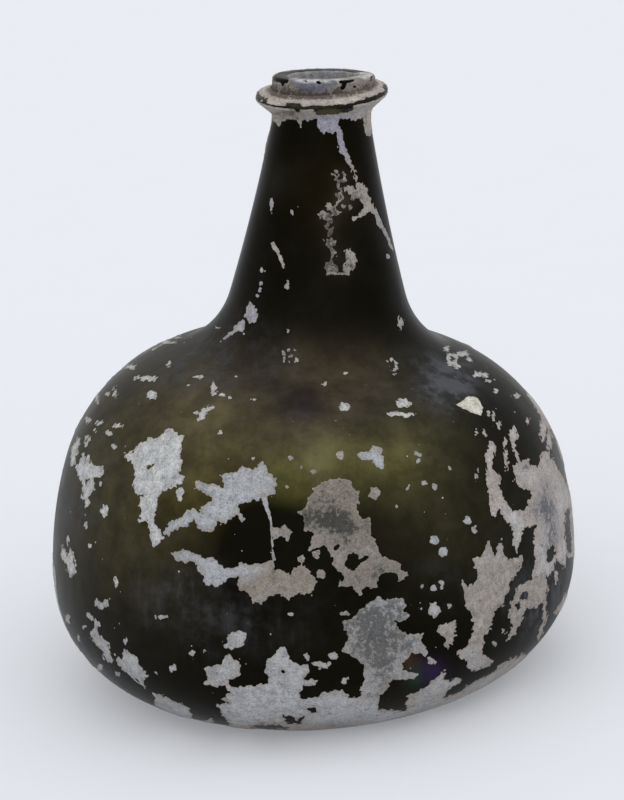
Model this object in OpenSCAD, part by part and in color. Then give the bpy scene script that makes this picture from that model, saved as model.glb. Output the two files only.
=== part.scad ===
// Onion bottle: a squat free-blown bottle of dark olive glass with a long flared neck, a wound string rim
// under a plain lip, a pushed-up base, and a pale weathering crust that has flaked away in patches.
// The base stands square on the table and the upper body leans to the right, as blown by hand.
// Millimetres. The origin is on the table below the middle of the belly, Z is up and the front is -Y.

/* [Body] */
// Widest diameter of the body
belly_d = 145; // [130:1:160]
// Height of the widest ring above the table
belly_z = 32; // [28:0.5:36]
// Radius of the flank, from the widest ring up to the shoulder
flank_r = 107; // [95:1:130]
// Slope of the side where the shoulder begins, degrees
side_angle = 15.5; // [12:0.5:20]
// Radius of the shoulder
shoulder_r = 45.5; // [42:0.5:48]
// Radius of the hollow curve at the root of the neck
neck_root_r = 24; // [18:0.5:28]
// Lean of the upper body to the right, degrees
lean = 5.1; // [0:0.1:6]
// Thickness of the glass
wall = 3.6; // [2.6:0.1:4.2]

/* [Base] */
// Width of the flat ring that stands on the table
foot_flat_w = 4; // [2:0.5:6]
// Rounding from the flat ring into the kick
kick_edge_r = 5; // [3:0.5:7]
// Height of the pushed-up kick
kick_h = 26; // [18:0.5:30]
// Rounding of the tip of the kick
kick_tip_r = 16; // [12:0.5:18]
// Thickness of the glass over the kick
kick_wall = 6; // [4:0.5:8]
// Diameter of the broken pontil ring
scar_d = 18; // [14:0.5:22]
// Thickness of the pontil ring
scar_w = 3.2; // [2:0.2:4]
// Part of the pontil ring that has broken away, degrees
scar_gap = 70; // [20:5:120]

/* [Neck and mouth] */
// Height of the mouth above the table, along the axis
bottle_h = 165; // [158:1:175]
// Length of the straight mouth above the flared neck
mouth_h = 12; // [10:0.5:15]
// Diameter of the neck below the string rim
neck_d = 26; // [24:0.5:28]
// Slope of the neck at its top, degrees
neck_slope = 10.5; // [9:0.5:12]
// Radius of the long hollow flare of the neck
neck_flare_r = 570; // [480:10:800]
// Diameter of the lip
lip_d = 26.6; // [24:0.2:28]
// Rounding of the outer edge of the lip
lip_round = 0.8; // [0.6:0.1:2]
// Rounding of the inner edge of the mouth
mouth_round = 0.7; // [0.5:0.1:1.2]

/* [String rim] */
// Diameter over the edge of the string rim
rim_d = 34.4; // [31:0.2:38]
// Distance from the mouth down to the edge of the string rim
rim_drop = 5; // [4.5:0.1:6]
// Height of the upper face, from the edge up to the lip
rim_up = 2.2; // [1.6:0.2:2.6]
// Height of the lower face, from the edge down to the neck
rim_down = 4.6; // [4:0.2:6]
// Rounding of the edge
rim_edge_r = 0.8; // [0.6:0.1:1.6]
// How far the wound trail dips at the front, degrees
rim_dip = 4.5; // [0:0.5:5]
// How far the wound trail rises at the right, degrees
rim_rise = 3.8; // [0:0.2:4]

/* [Crust] */
// Thickness of the weathering crust
crust_t = 0.4; // [0.2:0.05:0.7]
// Raggedness of the flakes
ragged = 0.2; // [0:0.02:0.26]
// Room between neighbouring pieces of crust
crust_gap = 0.15; // [0.1:0.05:0.3]

/* [Hidden] */
$fn = 96;

glass_colour = [0.16, 0.17, 0.09];
trail_colour = [0.13, 0.13, 0.08];
scar_colour = [0.30, 0.31, 0.22];
pale_crust = [0.74, 0.72, 0.68];
buff_crust = [0.66, 0.62, 0.53];
rosy_crust = [0.72, 0.66, 0.62];
eps = 0.01;
punch_in = 8;
punch_out = 4;

function polar(r, a) = r * [cos(a), sin(a)];
function arc_pts(c, r, a0, a1, n) = [for (i = [0:n]) c + polar(r, a0 + (a1 - a0) * i / n)];
function span(r, a) = r * PI * a / 180;
function rest(v) = [for (i = [1:len(v) - 1]) v[i]];
function back_to_front(v) = [for (i = [len(v) - 1:-1:0]) v[i]];

// Profile of the body as [radius, height] from the middle of the belly. A ring of a true sphere joins the
// upright base to the leaning upper body, so both meet it smoothly at any lean.
belly_r = belly_d / 2;
join_a = 3;
dip_a = 2.5;
heel_r = (belly_z - belly_r * sin(join_a)) / (1 - sin(join_a));
heel_c = polar(belly_r - heel_r, -join_a);
side_c = polar(belly_r - flank_r, join_a);
shoulder_c = side_c + polar(flank_r - shoulder_r, side_angle);
mouth_z = bottle_h - belly_z;
neck_top = [neck_d / 2, mouth_z - mouth_h];
flare_c = neck_top + polar(neck_flare_r, neck_slope);

// The root curve touches the shoulder arc and the flare of the neck
root_reach = shoulder_r + neck_root_r;
flare_reach = neck_flare_r - neck_root_r;
centre_gap = norm(flare_c - shoulder_c);
centre_dir = (flare_c - shoulder_c) / centre_gap;
root_along = (centre_gap ^ 2 + root_reach ^ 2 - flare_reach ^ 2) / (2 * centre_gap);
root_across = sqrt(root_reach ^ 2 - root_along ^ 2);
root_c = shoulder_c + root_along * centre_dir + root_across * [-centre_dir.y, centre_dir.x];
root_a = atan2(root_c.y - shoulder_c.y, root_c.x - shoulder_c.x);
flare_a = 360 + atan2(root_c.y - flare_c.y, root_c.x - flare_c.x);
flare_h = neck_flare_r * (sin(180 + neck_slope) - sin(flare_a));

// Outline of the leaning part, grown outward by g
function side_line(g) = concat(
    arc_pts(side_c, flank_r + g, join_a + dip_a, side_angle, 5),
    rest(arc_pts(shoulder_c, shoulder_r + g, side_angle, root_a, 16)),
    rest(arc_pts(root_c, neck_root_r - g, root_a + 180, flare_a, 10)),
    neck_line(g));
function neck_line(g) = rest(arc_pts(flare_c, neck_flare_r - g, flare_a, 180 + neck_slope, 4));
lip_r = lip_d / 2;
lip_c = [lip_r - lip_round, mouth_z - lip_round];
function lip_line(g) = concat(arc_pts(lip_c, lip_round + g, 0, 90, 5));

// Outline of the upright base, grown outward by g, running on past the sphere at its top
belt_top = belly_r * 0.3;
tip_a = join_a + 4;
tip_run = 6;
heel_skin_a = -75;
function heel_line(g) = arc_pts(heel_c, heel_r + g, -90, -tip_a, 16);
function heel_end(g) = heel_c + polar(heel_r + g, -tip_a) + tip_run * [sin(tip_a), cos(tip_a)];

// Kick: an edge rounding, a straight cone and a round tip, each touching the next
foot_in = heel_c.x - foot_flat_w;
kick_edge_c = [foot_in, kick_edge_r - belly_z];
kick_tip_c = [0, kick_h - kick_tip_r - belly_z];
kick_span = norm(kick_edge_c - kick_tip_c);
kick_a = atan2(kick_edge_c.x, kick_edge_c.y - kick_tip_c.y) - acos((kick_edge_r + kick_tip_r) / kick_span);
mound_r = kick_tip_r + kick_wall;
mound_end = kick_tip_c + polar(mound_r, 90 - kick_a);
mound_foot = mound_end.x + (mound_end.y + belly_z) / tan(kick_a);

// Mouth: the bore starts where the inside of the neck ends
bore_r = neck_d / 2 - wall * cos(neck_slope);

// String rim, about the middle of its edge
rim_z = mouth_z - rim_drop;
rim_r = rim_d / 2;
rim_root_r = neck_d / 2 - 0.8;
rim_edge_c = [rim_r - rim_edge_r, 0];
rim_face_a = 60;
rim_reach = rim_r - neck_d / 2;
rim_up_a = atan2(rim_up, rim_reach);
rim_down_a = atan2(rim_down, rim_reach);
function rim_up_root(g) = [rim_root_r, (rim_r - rim_root_r) * tan(rim_up_a) + g / cos(rim_up_a)];
function rim_down_root(g) = [rim_root_r, -(rim_r - rim_root_r) * tan(rim_down_a) - g / cos(rim_down_a)];
function rim_up_edge(g) = rim_edge_c + polar(rim_edge_r + g, rim_face_a);
function rim_down_edge(g) = rim_edge_c + polar(rim_edge_r + g, -rim_face_a);

// Flakes of crust: [azimuth from the front, slope of the glass there, width, height, turn], all in degrees.
// The slope places a flake: 0 is the widest ring, up is plus. Width and height are as seen from the middle.
left_flakes = [[-40, 28, 12, 23, 12], [-62, 24, 3, 11, -12], [-57, 20, 2.5, 6.5, 8], [-76, 25, 5, 7, 0],
               [-50, 40, 4, 3, 20]];
front_flakes = [[-20, 28, 21, 12.5, 18], [-17, 12, 27, 9.5, -8], [7, 22, 18, 20.5, -14], [12, 43, 5.5, 5, 0],
                [12, 33, 2.5, 3, 0], [-10, 52, 2.5, 2.5, 0]];
right_flakes = [[43, 29, 3, 15, 0], [66, 19, 24, 20.5, 8], [50, 50, 7, 4, 12], [51, 38, 2.5, 8.5, 0],
                [84, 27, 9.5, 16, -10]];
shoulder_flakes = [[-72, 58, 6.5, 2.5, 0], [-60, 53, 3, 2.5, 0], [-36, 54, 5.5, 5, 10], [76, 66, 6.5, 4, 0],
                   [71, 60, 5, 3, 0], [28, 62, 4, 2.5, 10], [23, 54, 6.5, 2.5, 0], [7, 63, 2.5, 2.5, 0],
                   [90, 46, 5.5, 7, 0]];
back_flakes = [[116, 26, 24, 19, 12], [148, 16, 20.5, 9.5, -15], [174, 32, 22, 16, 20],
               [207, 18, 25, 12.5, 5], [238, 30, 19, 17.5, -20], [262, 17, 14, 8.5, 10],
               [140, 52, 9.5, 6.5, 0], [196, 56, 8, 5, 0], [224, 50, 7, 5, 0]];
heel_flakes = [[-11, -24, 21, 23.5, 0], [12, -17, 15, 30, 8], [37, -2, 11, 35, -12], [36, -36, 17.5, 9.5, 14],
               [52, -4, 9.5, 19, 6], [68, 1, 16, 10.5, 0], [26, -2, 3, 6.5, 0], [-17, 2, 5, 4, 0],
               [-67, 6, 6.5, 6.5, 0], [-55, -15, 4, 8.5, 0], [-42, -19, 8, 8.5, 20], [-36, -42, 9.5, 7, 0],
               [-24, -12, 5, 5, 0], [100, -14, 17.5, 20.5, 0], [142, -26, 20.5, 16, 10], [186, -8, 16, 19, 0],
               [232, -27, 22, 12.5, 0], [278, -16, 14, 16, 0]];
// Flakes of the neck: [azimuth, share of the flare above, width, height, turn], sizes in degrees of the neck
neck_flakes = [[8, 0.09, 22, 22, 0], [16, 0.22, 9, 35, 8], [22, 0.39, 10, 35, 10], [31, 0.57, 11, 40, 14],
               [42, 0.75, 11, 40, 16], [9, 0.66, 26, 62, 0], [-33, 0.73, 13, 35, 16], [-50, 1, 31, 31, 20],
               [150, 0.46, 31, 97, 6], [215, 0.69, 35, 62, 0]];
// Bites out of the lip crust: [azimuth, width, height], sizes in degrees of the lip
lip_bites = [[-50, 22, 13], [-8, 13, 9], [24, 26, 17], [120, 30, 17], [205, 22, 13]];
// Bites out of the crust on the faces of the string rim: [azimuth, width], in degrees of the rim
rim_upper_bites = [[-70, 13], [-38, 8], [-14, 10], [12, 7], [40, 11], [66, 13], [105, 17], [150, 10],
                   [200, 20], [250, 10]];
rim_lower_bites = [[-60, 17], [-28, 10], [-6, 11], [18, 9], [48, 17], [80, 10], [130, 20], [180, 13],
                   [240, 20], [280, 10]];

glass_body();
string_rim();
pontil_scar();
lip_crust();
rim_upper_crust();
rim_lower_crust();
neck_crust();
shoulder_crust();
left_crust();
front_crust();
right_crust();
back_crust();
heel_crust();

// Frames: the base stands upright, the upper body leans about the middle of the belly
module upright() { translate([0, 0, belly_z]) children(); }
module leaning() { upright() rotate([0, lean, 0]) children(); }
module rim_frame() { leaning() translate([0, 0, rim_z]) rotate([rim_dip, -rim_rise, 0]) children(); }

// The blown bubble: base, belly, shoulder, neck and lip in one, hollow, with the kick pushed up
module glass_body() {
    color(glass_colour)
    difference() {
        union() {
            upright() base_outside();
            leaning() rotate_extrude() polygon(concat(dipped(side_line(0)), lip_line(0), [[0, mouth_z]]));
        }
        union() {
            upright() base_inside();
            leaning() rotate_extrude() polygon(concat(dipped(side_line(-wall)), bore_line()));
        }
    }
}

// The leaning outline starts inside the sphere, on the axis
function dipped(line) = concat([[0, line[0].y - 9], line[0] - [1.5, 9]], line);

// The straight bore and the rounded inner edge of the mouth
function bore_line() = concat(
    arc_pts([bore_r + mouth_round, mouth_z - mouth_round], mouth_round, 180, 90, 4),
    [[bore_r + mouth_round, mouth_z + 2], [0, mouth_z + 2]]);

module base_outside() {
    intersection() {
        sphere(belly_r);
        rotate_extrude() difference() {
            polygon(concat([[0, -belly_z]], heel_line(0),
                           [heel_end(0), [heel_end(0).x, belt_top], [0, belt_top]]));
            kick_hollow();
        }
    }
}

module base_inside() {
    intersection() {
        sphere(belly_r - wall);
        rotate_extrude() difference() {
            polygon(concat([[0, wall - belly_z]], heel_line(-wall),
                           [heel_end(-wall), [heel_end(-wall).x, belt_top], [0, belt_top]]));
            polygon(concat([[0, -belly_z - eps], [mound_foot, -belly_z - eps]],
                           arc_pts(kick_tip_c, mound_r, 90 - kick_a, 90, 6)));
        }
    }
}

module kick_hollow() {
    polygon(concat([[0, -belly_z - 1], [foot_in, -belly_z - 1]],
                   arc_pts(kick_edge_c, kick_edge_r, -90, -90 - kick_a, 5),
                   arc_pts(kick_tip_c, kick_tip_r, 90 - kick_a, 90, 6)));
}

// The V of the wound trail, grown by g, before the neck is taken out of it
module rim_solid(g) {
    rotate_extrude()
        polygon(concat([rim_down_root(g)], arc_pts(rim_edge_c, rim_edge_r + g, -rim_face_a, rim_face_a, 8),
                       [rim_up_root(g)]));
}

// Neck and lip as one solid core, for what is seated on them
module neck_core(g) {
    leaning() rotate_extrude() {
        top = concat(neck_line(g), lip_line(g), [[0, mouth_z + g]]);
        polygon(concat([[0, top[0].y]], top));
    }
}

// String rim: a trail of hot glass wound round the neck and tooled to a V, seated on the glass and askew
module string_rim() {
    color(trail_colour)
    difference() {
        rim_frame() rim_solid(0);
        neck_core(0);
    }
}

// Pontil scar: the broken ring left on the tip of the kick
module pontil_scar() {
    scar_r = scar_d / 2;
    scar_z = kick_tip_c.y + sqrt(kick_tip_r * kick_tip_r - scar_r * scar_r);
    color(scar_colour)
    upright() rotate([0, 0, 40]) rotate_extrude(angle = 360 - scar_gap) intersection() {
        translate([scar_r, scar_z]) circle(d = scar_w);
        kick_hollow();
    }
}

// A ragged outline of the given width and height
module ragged_outline(w, h, seed) {
    points = 20;
    polygon([for (i = [0:points - 1]) let (
        a = i * 360 / points,
        waves = sin(2 * a + 97 * seed) + 0.8 * sin(3 * a + 151 * seed) + 0.6 * sin(5 * a + 211 * seed),
        k = 1 + ragged * waves
    ) [w / 2 * k * cos(a), h / 2 * k * sin(a)]]);
}

// A ragged punch that points out of the glass at p = [radius, height], where the glass slopes by slope
module punch(p, slope, az, w, h, turn, seed) {
    rotate([0, 0, az]) translate([0, -p.x, p.y]) rotate([90 - slope, 0, 0]) rotate([0, 0, turn])
        translate([0, 0, -punch_in]) linear_extrude(punch_in + punch_out) ragged_outline(w, h, seed);
}

// The punch of one flake f of the lists, with its width and height in degrees at radius r
module flake(p, slope, r, f, seed) {
    punch(p, slope, f[0], span(r, f[2]), span(r, f[3]), f[4], seed);
}

function upper_place(slope) = slope < side_angle
    ? side_c + polar(flank_r, slope)
    : shoulder_c + polar(shoulder_r, slope);
function low_place(slope) = slope < -join_a ? heel_c + polar(heel_r, slope) : polar(belly_r, slope);
function neck_place(share) = let (z = neck_top.y - share * flare_h)
    [flare_c.x - sqrt(neck_flare_r * neck_flare_r - (flare_c.y - z) * (flare_c.y - z)), z];

// The skin that the flakes of the leaning body are cut from
module upper_skin() {
    rotate_extrude() polygon(concat(side_line(crust_t), back_to_front(side_line(0))));
}

module upper_flakes(flakes) {
    leaning() intersection() {
        upper_skin();
        union() for (i = [0:len(flakes) - 1]) let (f = flakes[i])
            flake(upper_place(f[1]), f[1], belly_r, f, i + len(flakes));
    }
}

module shoulder_crust() { color(pale_crust) upper_flakes(shoulder_flakes); }
module left_crust() { color(pale_crust) upper_flakes(left_flakes); }
module front_crust() { color(buff_crust) upper_flakes(front_flakes); }
module right_crust() { color(rosy_crust) upper_flakes(right_flakes); }
module back_crust() { color(buff_crust) upper_flakes(back_flakes); }

module neck_crust() {
    color(pale_crust)
    leaning() intersection() {
        upper_skin();
        union() for (i = [0:len(neck_flakes) - 1]) let (f = neck_flakes[i])
            flake(neck_place(f[1]), neck_slope, neck_top.x, f, i);
    }
}

// The skin of the belt of sphere between the base and the leaning body
module belt_skin() {
    low = heel_line(0)[16].y + crust_gap;
    high = side_line(0)[0].y - crust_gap;
    reach = belly_r + 5;
    intersection() {
        upright() difference() {
            sphere(belly_r + crust_t);
            sphere(belly_r);
        }
        upright() translate([0, 0, low]) cylinder(r = reach, h = belly_r);
        leaning() translate([0, 0, high - belly_r]) cylinder(r = reach, h = belly_r);
    }
}

// The skin of the heel, which stops short of the table
module heel_skin() {
    upright() rotate_extrude()
        polygon(concat(arc_pts(heel_c, heel_r + crust_t, heel_skin_a, -tip_a, 14),
                       arc_pts(heel_c, heel_r, -tip_a, heel_skin_a, 14)));
}

// Flakes of the heel and of the widest ring
module heel_crust() {
    color(pale_crust)
    intersection() {
        union() {
            leaning() upper_skin();
            belt_skin();
            heel_skin();
        }
        upright() union() for (i = [0:len(heel_flakes) - 1]) let (f = heel_flakes[i])
            flake(low_place(f[1]), f[1], belly_r, f, i + 5);
    }
}

// Crust over the lip, from the string rim up and over the edge to the mouth, with bites out of it
module lip_crust() {
    inner = bore_r + mouth_round + crust_t;
    color(pale_crust)
    difference() {
        leaning() rotate_extrude()
            polygon(concat([[lip_r + crust_t, rim_z]], lip_line(crust_t),
                           [[inner, mouth_z + crust_t], [inner, mouth_z]],
                           back_to_front(lip_line(0)), [[lip_r, rim_z]]));
        rim_frame() rim_solid(crust_t + crust_gap);
        leaning() for (i = [0:len(lip_bites) - 1]) let (b = lip_bites[i])
            punch([lip_r, mouth_z - rim_drop / 2], 0, b[0], span(lip_r, b[1]), span(lip_r, b[2]), 0, i);
    }
}

// An upright round bite at the edge of the string rim, r from its middle
module rim_bite(r, b) {
    rotate([0, 0, b[0]]) translate([0, -r, 0]) cylinder(d = span(rim_r, b[1]), h = rim_d, center = true);
}

// Crust on the upper face of the string rim, which leaves its edge bare
module rim_upper_crust() {
    color(pale_crust)
    difference() {
        rim_frame() difference() {
            rotate_extrude()
                polygon([rim_up_root(0), rim_up_edge(0), rim_up_edge(crust_t), rim_up_root(crust_t)]);
            for (b = rim_upper_bites) rim_bite(rim_up_edge(0).x, b);
        }
        neck_core(0);
    }
}

// Crust on the lower face of the string rim
module rim_lower_crust() {
    color(pale_crust)
    difference() {
        rim_frame() difference() {
            rotate_extrude()
                polygon([rim_down_root(0), rim_down_root(crust_t), rim_down_edge(crust_t), rim_down_edge(0)]);
            for (b = rim_lower_bites) rim_bite(rim_down_edge(0).x, b);
        }
        neck_core(0);
    }
}
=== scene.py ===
import math

import bmesh
import bpy
import numpy as np
from mathutils import Matrix, Vector, noise


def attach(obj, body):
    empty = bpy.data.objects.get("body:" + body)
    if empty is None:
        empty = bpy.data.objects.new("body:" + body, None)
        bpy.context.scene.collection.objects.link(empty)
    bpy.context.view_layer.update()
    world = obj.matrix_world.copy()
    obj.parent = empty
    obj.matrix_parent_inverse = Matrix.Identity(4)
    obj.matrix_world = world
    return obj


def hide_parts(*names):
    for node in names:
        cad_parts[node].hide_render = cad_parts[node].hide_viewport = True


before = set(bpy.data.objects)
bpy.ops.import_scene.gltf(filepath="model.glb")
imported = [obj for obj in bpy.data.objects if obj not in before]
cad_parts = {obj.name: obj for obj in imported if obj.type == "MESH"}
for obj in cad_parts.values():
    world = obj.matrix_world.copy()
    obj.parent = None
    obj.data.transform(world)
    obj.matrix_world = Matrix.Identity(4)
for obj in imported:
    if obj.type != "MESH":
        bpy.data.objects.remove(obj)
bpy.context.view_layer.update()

# The camera stands 0.6 m from the bottle and a little above its shoulder, as in the photograph. It is
# rolled, so that the table rises slightly to the right. Outlines of flakes are read through it, in pixels.
CAMERA_DISTANCE = 0.600
CAMERA_ABOVE = math.radians(16.24)
AIM_HEIGHT = 0.080
LOOK_DOWN = math.radians(16.66)
LOOK_RIGHT = math.radians(0.28)
ROLL = math.radians(4.4)
FOCAL_PIXELS = 2189.4
IMAGE_SIZE = (624, 800)
SENSOR_MM = 36

camera_place = Vector((0, -CAMERA_DISTANCE * math.cos(CAMERA_ABOVE),
                       AIM_HEIGHT + CAMERA_DISTANCE * math.sin(CAMERA_ABOVE)))
forward = Vector((math.sin(LOOK_RIGHT) * math.cos(LOOK_DOWN), math.cos(LOOK_RIGHT) * math.cos(LOOK_DOWN),
                  -math.sin(LOOK_DOWN)))
level_right = forward.cross(Vector((0, 0, 1))).normalized()
level_up = level_right.cross(forward)
right = level_right * math.cos(ROLL) - level_up * math.sin(ROLL)
up = level_right * math.sin(ROLL) + level_up * math.cos(ROLL)

camera_data = bpy.data.cameras.new("camera")
camera_data.sensor_fit = "VERTICAL"
camera_data.sensor_height = SENSOR_MM
camera_data.lens = FOCAL_PIXELS * SENSOR_MM / IMAGE_SIZE[1]
camera = bpy.data.objects.new("camera", camera_data)
camera.matrix_world = Matrix.Translation(camera_place) @ Matrix((right, up, -forward)).transposed().to_4x4()
bpy.context.scene.collection.objects.link(camera)
bpy.context.scene.camera = camera


def pixels(points):
    """Where points in the row frame come to lie in the photograph."""
    away = points - np.array(camera_place)
    depth = away @ np.array(forward)
    x = IMAGE_SIZE[0] / 2 + FOCAL_PIXELS * (away @ np.array(right)) / depth
    y = IMAGE_SIZE[1] / 2 - FOCAL_PIXELS * (away @ np.array(up)) / depth
    return x, y


# Glass body: one bubble of dark olive glass, blown by hand and never moulded. The base is upright, the upper
# body leans to the right, and the kick was pushed up with a rod while the glass was soft. Its outline is a
# chain of arcs, measured from the middle of the belly as [radius, height].
BELLY_R = 0.0725
BELLY_Z = 0.032
SIDE_R = 0.107
SIDE_ANGLE = 15.5
SHOULDER_R = 0.0455
ROOT_R = 0.024
LEAN = math.radians(5.1)
NECK_SWAY = 0.0002
SWAY_FROM = 0.060
SWAY_OVER = 0.070
LIP_SWAY = 0.00045
LIP_TILT = 0.024
LIP_TIP = 0.019
ASKEW_FROM = 0.1262
ASKEW_OVER = 0.0048
WALL = 0.0036
JOIN_ANGLE = 3
BEND = 0.010
FOOT_FLAT_W = 0.004
KICK_EDGE_R = 0.005
KICK_H = 0.026
KICK_TIP_R = 0.016
KICK_WALL = 0.006
BOTTLE_H = 0.165
MOUTH_H = 0.012
NECK_R = 0.013
NECK_SLOPE = 10.5
FLARE_R = 0.570
LIP_R = 0.0133
LIP_ROUND = 0.0008
MOUTH_ROUND = 0.0007
GLASS_CELL = 0.0012
HIDDEN_CELL = 0.003
GLASS_STEPS = 256


def polar(radius, degrees):
    return radius * np.array([math.cos(math.radians(degrees)), math.sin(math.radians(degrees))])


def angle_of(v):
    return math.degrees(math.atan2(v[1], v[0]))


middle = np.zeros(2)
join_sin = math.sin(math.radians(JOIN_ANGLE))
heel_r = (BELLY_Z - BELLY_R * join_sin) / (1 - join_sin)
heel_c = polar(BELLY_R - heel_r, -JOIN_ANGLE)
side_c = polar(BELLY_R - SIDE_R, JOIN_ANGLE)
shoulder_c = side_c + polar(SIDE_R - SHOULDER_R, SIDE_ANGLE)
mouth_z = BOTTLE_H - BELLY_Z
neck_top = np.array([NECK_R, mouth_z - MOUTH_H])
flare_c = neck_top + polar(FLARE_R, NECK_SLOPE)

# The root of the neck touches the shoulder and the flare
root_reach = SHOULDER_R + ROOT_R
flare_reach = FLARE_R - ROOT_R
centre_gap = math.dist(flare_c, shoulder_c)
centre_way = (flare_c - shoulder_c) / centre_gap
root_along = (centre_gap ** 2 + root_reach ** 2 - flare_reach ** 2) / (2 * centre_gap)
root_across = math.sqrt(root_reach ** 2 - root_along ** 2)
root_c = shoulder_c + root_along * centre_way + root_across * np.array([-centre_way[1], centre_way[0]])
root_a = angle_of(root_c - shoulder_c)
flare_a = 360 + angle_of(root_c - flare_c)

# The kick is an edge rounding, a cone and a round tip, each touching the next
foot_in = heel_c[0] - FOOT_FLAT_W
kick_edge_c = np.array([foot_in, KICK_EDGE_R - BELLY_Z])
kick_tip_c = np.array([0, KICK_H - KICK_TIP_R - BELLY_Z])
kick_span = math.dist(kick_edge_c, kick_tip_c)
kick_fall = math.degrees(math.atan2(kick_edge_c[0], kick_edge_c[1] - kick_tip_c[1]))
kick_a = kick_fall - math.degrees(math.acos((KICK_EDGE_R + KICK_TIP_R) / kick_span))
mound_r = KICK_TIP_R + KICK_WALL
mound_end = kick_tip_c + polar(mound_r, 90 - kick_a)
mound_foot = mound_end[0] + (mound_end[1] + BELLY_Z - WALL) / math.tan(math.radians(kick_a))

lip_c = np.array([LIP_R - LIP_ROUND, mouth_z - LIP_ROUND])
bore_r = NECK_R - WALL * math.cos(math.radians(NECK_SLOPE))
mouth_c = np.array([bore_r + MOUTH_ROUND, mouth_z - MOUTH_ROUND])


def body_arcs(grow):
    """Arcs from the foot to the top of the neck, grown outward: centre, radius, first and last angle."""
    return [
        (heel_c, heel_r + grow, -90, -JOIN_ANGLE),
        (middle, BELLY_R + grow, -JOIN_ANGLE, JOIN_ANGLE),
        (side_c, SIDE_R + grow, JOIN_ANGLE, SIDE_ANGLE),
        (shoulder_c, SHOULDER_R + grow, SIDE_ANGLE, root_a),
        (root_c, ROOT_R - grow, root_a + 180, flare_a),
        (flare_c, FLARE_R - grow, flare_a, 180 + NECK_SLOPE),
    ]


def start_line(bm, point):
    return bm.verts.new((point[0], 0, point[1]))


def draw_arc(bm, last, centre, radius, first, end, cell):
    """Carries an outline on from its last vertex, round an arc."""
    turn = math.radians(end - first)
    steps = max(2, math.ceil(radius * abs(turn) / cell))
    drawn = bmesh.ops.spin(bm, geom=[last], cent=(centre[0], 0, centre[1]), axis=(0, -1, 0), angle=turn,
                           steps=steps)
    return drawn["geom_last"][0]


def draw_line(bm, last, point, cell):
    """Carries an outline on from its last vertex, straight to a point."""
    way = Vector((point[0], 0, point[1])) - last.co
    steps = math.ceil(way.length / cell)
    for _ in range(steps):
        last = bmesh.ops.extrude_vert_indiv(bm, verts=[last])["verts"][0]
        last.co += way / steps
    return last


def turn_round(bm, steps):
    """Spins an outline all the way round the axis and closes its seam and poles."""
    bmesh.ops.spin(bm, geom=bm.verts[:] + bm.edges[:], cent=(0, 0, 0), axis=(0, 0, 1), angle=2 * math.pi,
                   steps=steps, use_merge=True)
    bmesh.ops.remove_doubles(bm, verts=bm.verts, dist=1e-7)
    bmesh.ops.recalc_face_normals(bm, faces=bm.faces)


def places(bm):
    return np.array([vert.co for vert in bm.verts])


def move_to(bm, points):
    for vert, point in zip(bm.verts, points.tolist()):
        vert.co = point


def ease(values):
    """0 to 1, with a soft start and end."""
    share = np.clip(values, 0, 1)
    return share * share * (3 - 2 * share)


def leaned(points):
    """Points of the bottle, from the middle of the belly, as they stand on the table. The widest ring takes
    up the bend between the upright base and the leaning upper body, and neck and lip are a little askew."""
    height = points[:, 2]
    turn = LEAN * ease((height / BEND + 1) / 2)
    lip = ease((height - ASKEW_FROM) / ASKEW_OVER)
    raised = height + lip * (LIP_TILT * points[:, 0] - LIP_TIP * (points[:, 1] + LIP_R))
    swayed = points[:, 0] + NECK_SWAY * ease((height - SWAY_FROM) / SWAY_OVER) + LIP_SWAY * lip
    x = swayed * np.cos(turn) + raised * np.sin(turn)
    z = raised * np.cos(turn) - swayed * np.sin(turn)
    return np.stack([x, points[:, 1], z + BELLY_Z], axis=1)


def wander(points, size, seed):
    """Smooth noise of about -1 to 1 with features of the given size."""
    shift = np.array([17.3, 5.1, 9.7]) * seed
    return np.array([noise.noise(p) for p in (points / size + shift).tolist()])


def sighted(bm, seat):
    """Moves a mesh to its place on the table. Gives its points, how squarely they face the camera, and their
    pixels in the photograph."""
    move_to(bm, seat(places(bm)))
    bm.normal_update()
    points = places(bm)
    normals = np.array([vert.normal for vert in bm.verts])
    to_camera = np.array(camera_place) - points
    sight = (to_camera * normals).sum(axis=1) / np.linalg.norm(to_camera, axis=1)
    x, y = pixels(points)
    return points, sight, x, y


def soft_spot(x, y, middle, width, height):
    """1 in the middle of a spot of the photograph, fading to nought round it."""
    return np.exp(-((x - middle[0]) * 2 / width) ** 2 - ((y - middle[1]) * 2 / height) ** 2)


def paint(bm, **amounts):
    """Keeps amounts for each vertex, under their names, for the finish to read."""
    for name, values in amounts.items():
        layer = bm.verts.layers.float.new(name)
        for vert, amount in zip(bm.verts, values.tolist()):
            vert[layer] = amount


bm = bmesh.new()
end = start_line(bm, kick_tip_c + polar(KICK_TIP_R, 90))
end = draw_arc(bm, end, kick_tip_c, KICK_TIP_R, 90, 90 - kick_a, GLASS_CELL)
end = draw_line(bm, end, kick_edge_c + polar(KICK_EDGE_R, -90 - kick_a), GLASS_CELL)
end = draw_arc(bm, end, kick_edge_c, KICK_EDGE_R, -90 - kick_a, -90, GLASS_CELL)
end = draw_line(bm, end, [heel_c[0], -BELLY_Z], GLASS_CELL)
for centre, radius, first, last in body_arcs(0):
    end = draw_arc(bm, end, centre, radius, first, last, GLASS_CELL)
end = draw_line(bm, end, lip_c + polar(LIP_ROUND, 0), GLASS_CELL)
end = draw_arc(bm, end, lip_c, LIP_ROUND, 0, 90, GLASS_CELL / 4)
end = draw_line(bm, end, mouth_c + polar(MOUTH_ROUND, 90), GLASS_CELL)
end = draw_arc(bm, end, mouth_c, MOUTH_ROUND, 90, 180, GLASS_CELL / 4)
end = draw_line(bm, end, [bore_r, neck_top[1] - WALL * math.sin(math.radians(NECK_SLOPE))], GLASS_CELL)
for centre, radius, first, last in reversed(body_arcs(-WALL)):
    end = draw_arc(bm, end, centre, radius, last, first, HIDDEN_CELL)
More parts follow.
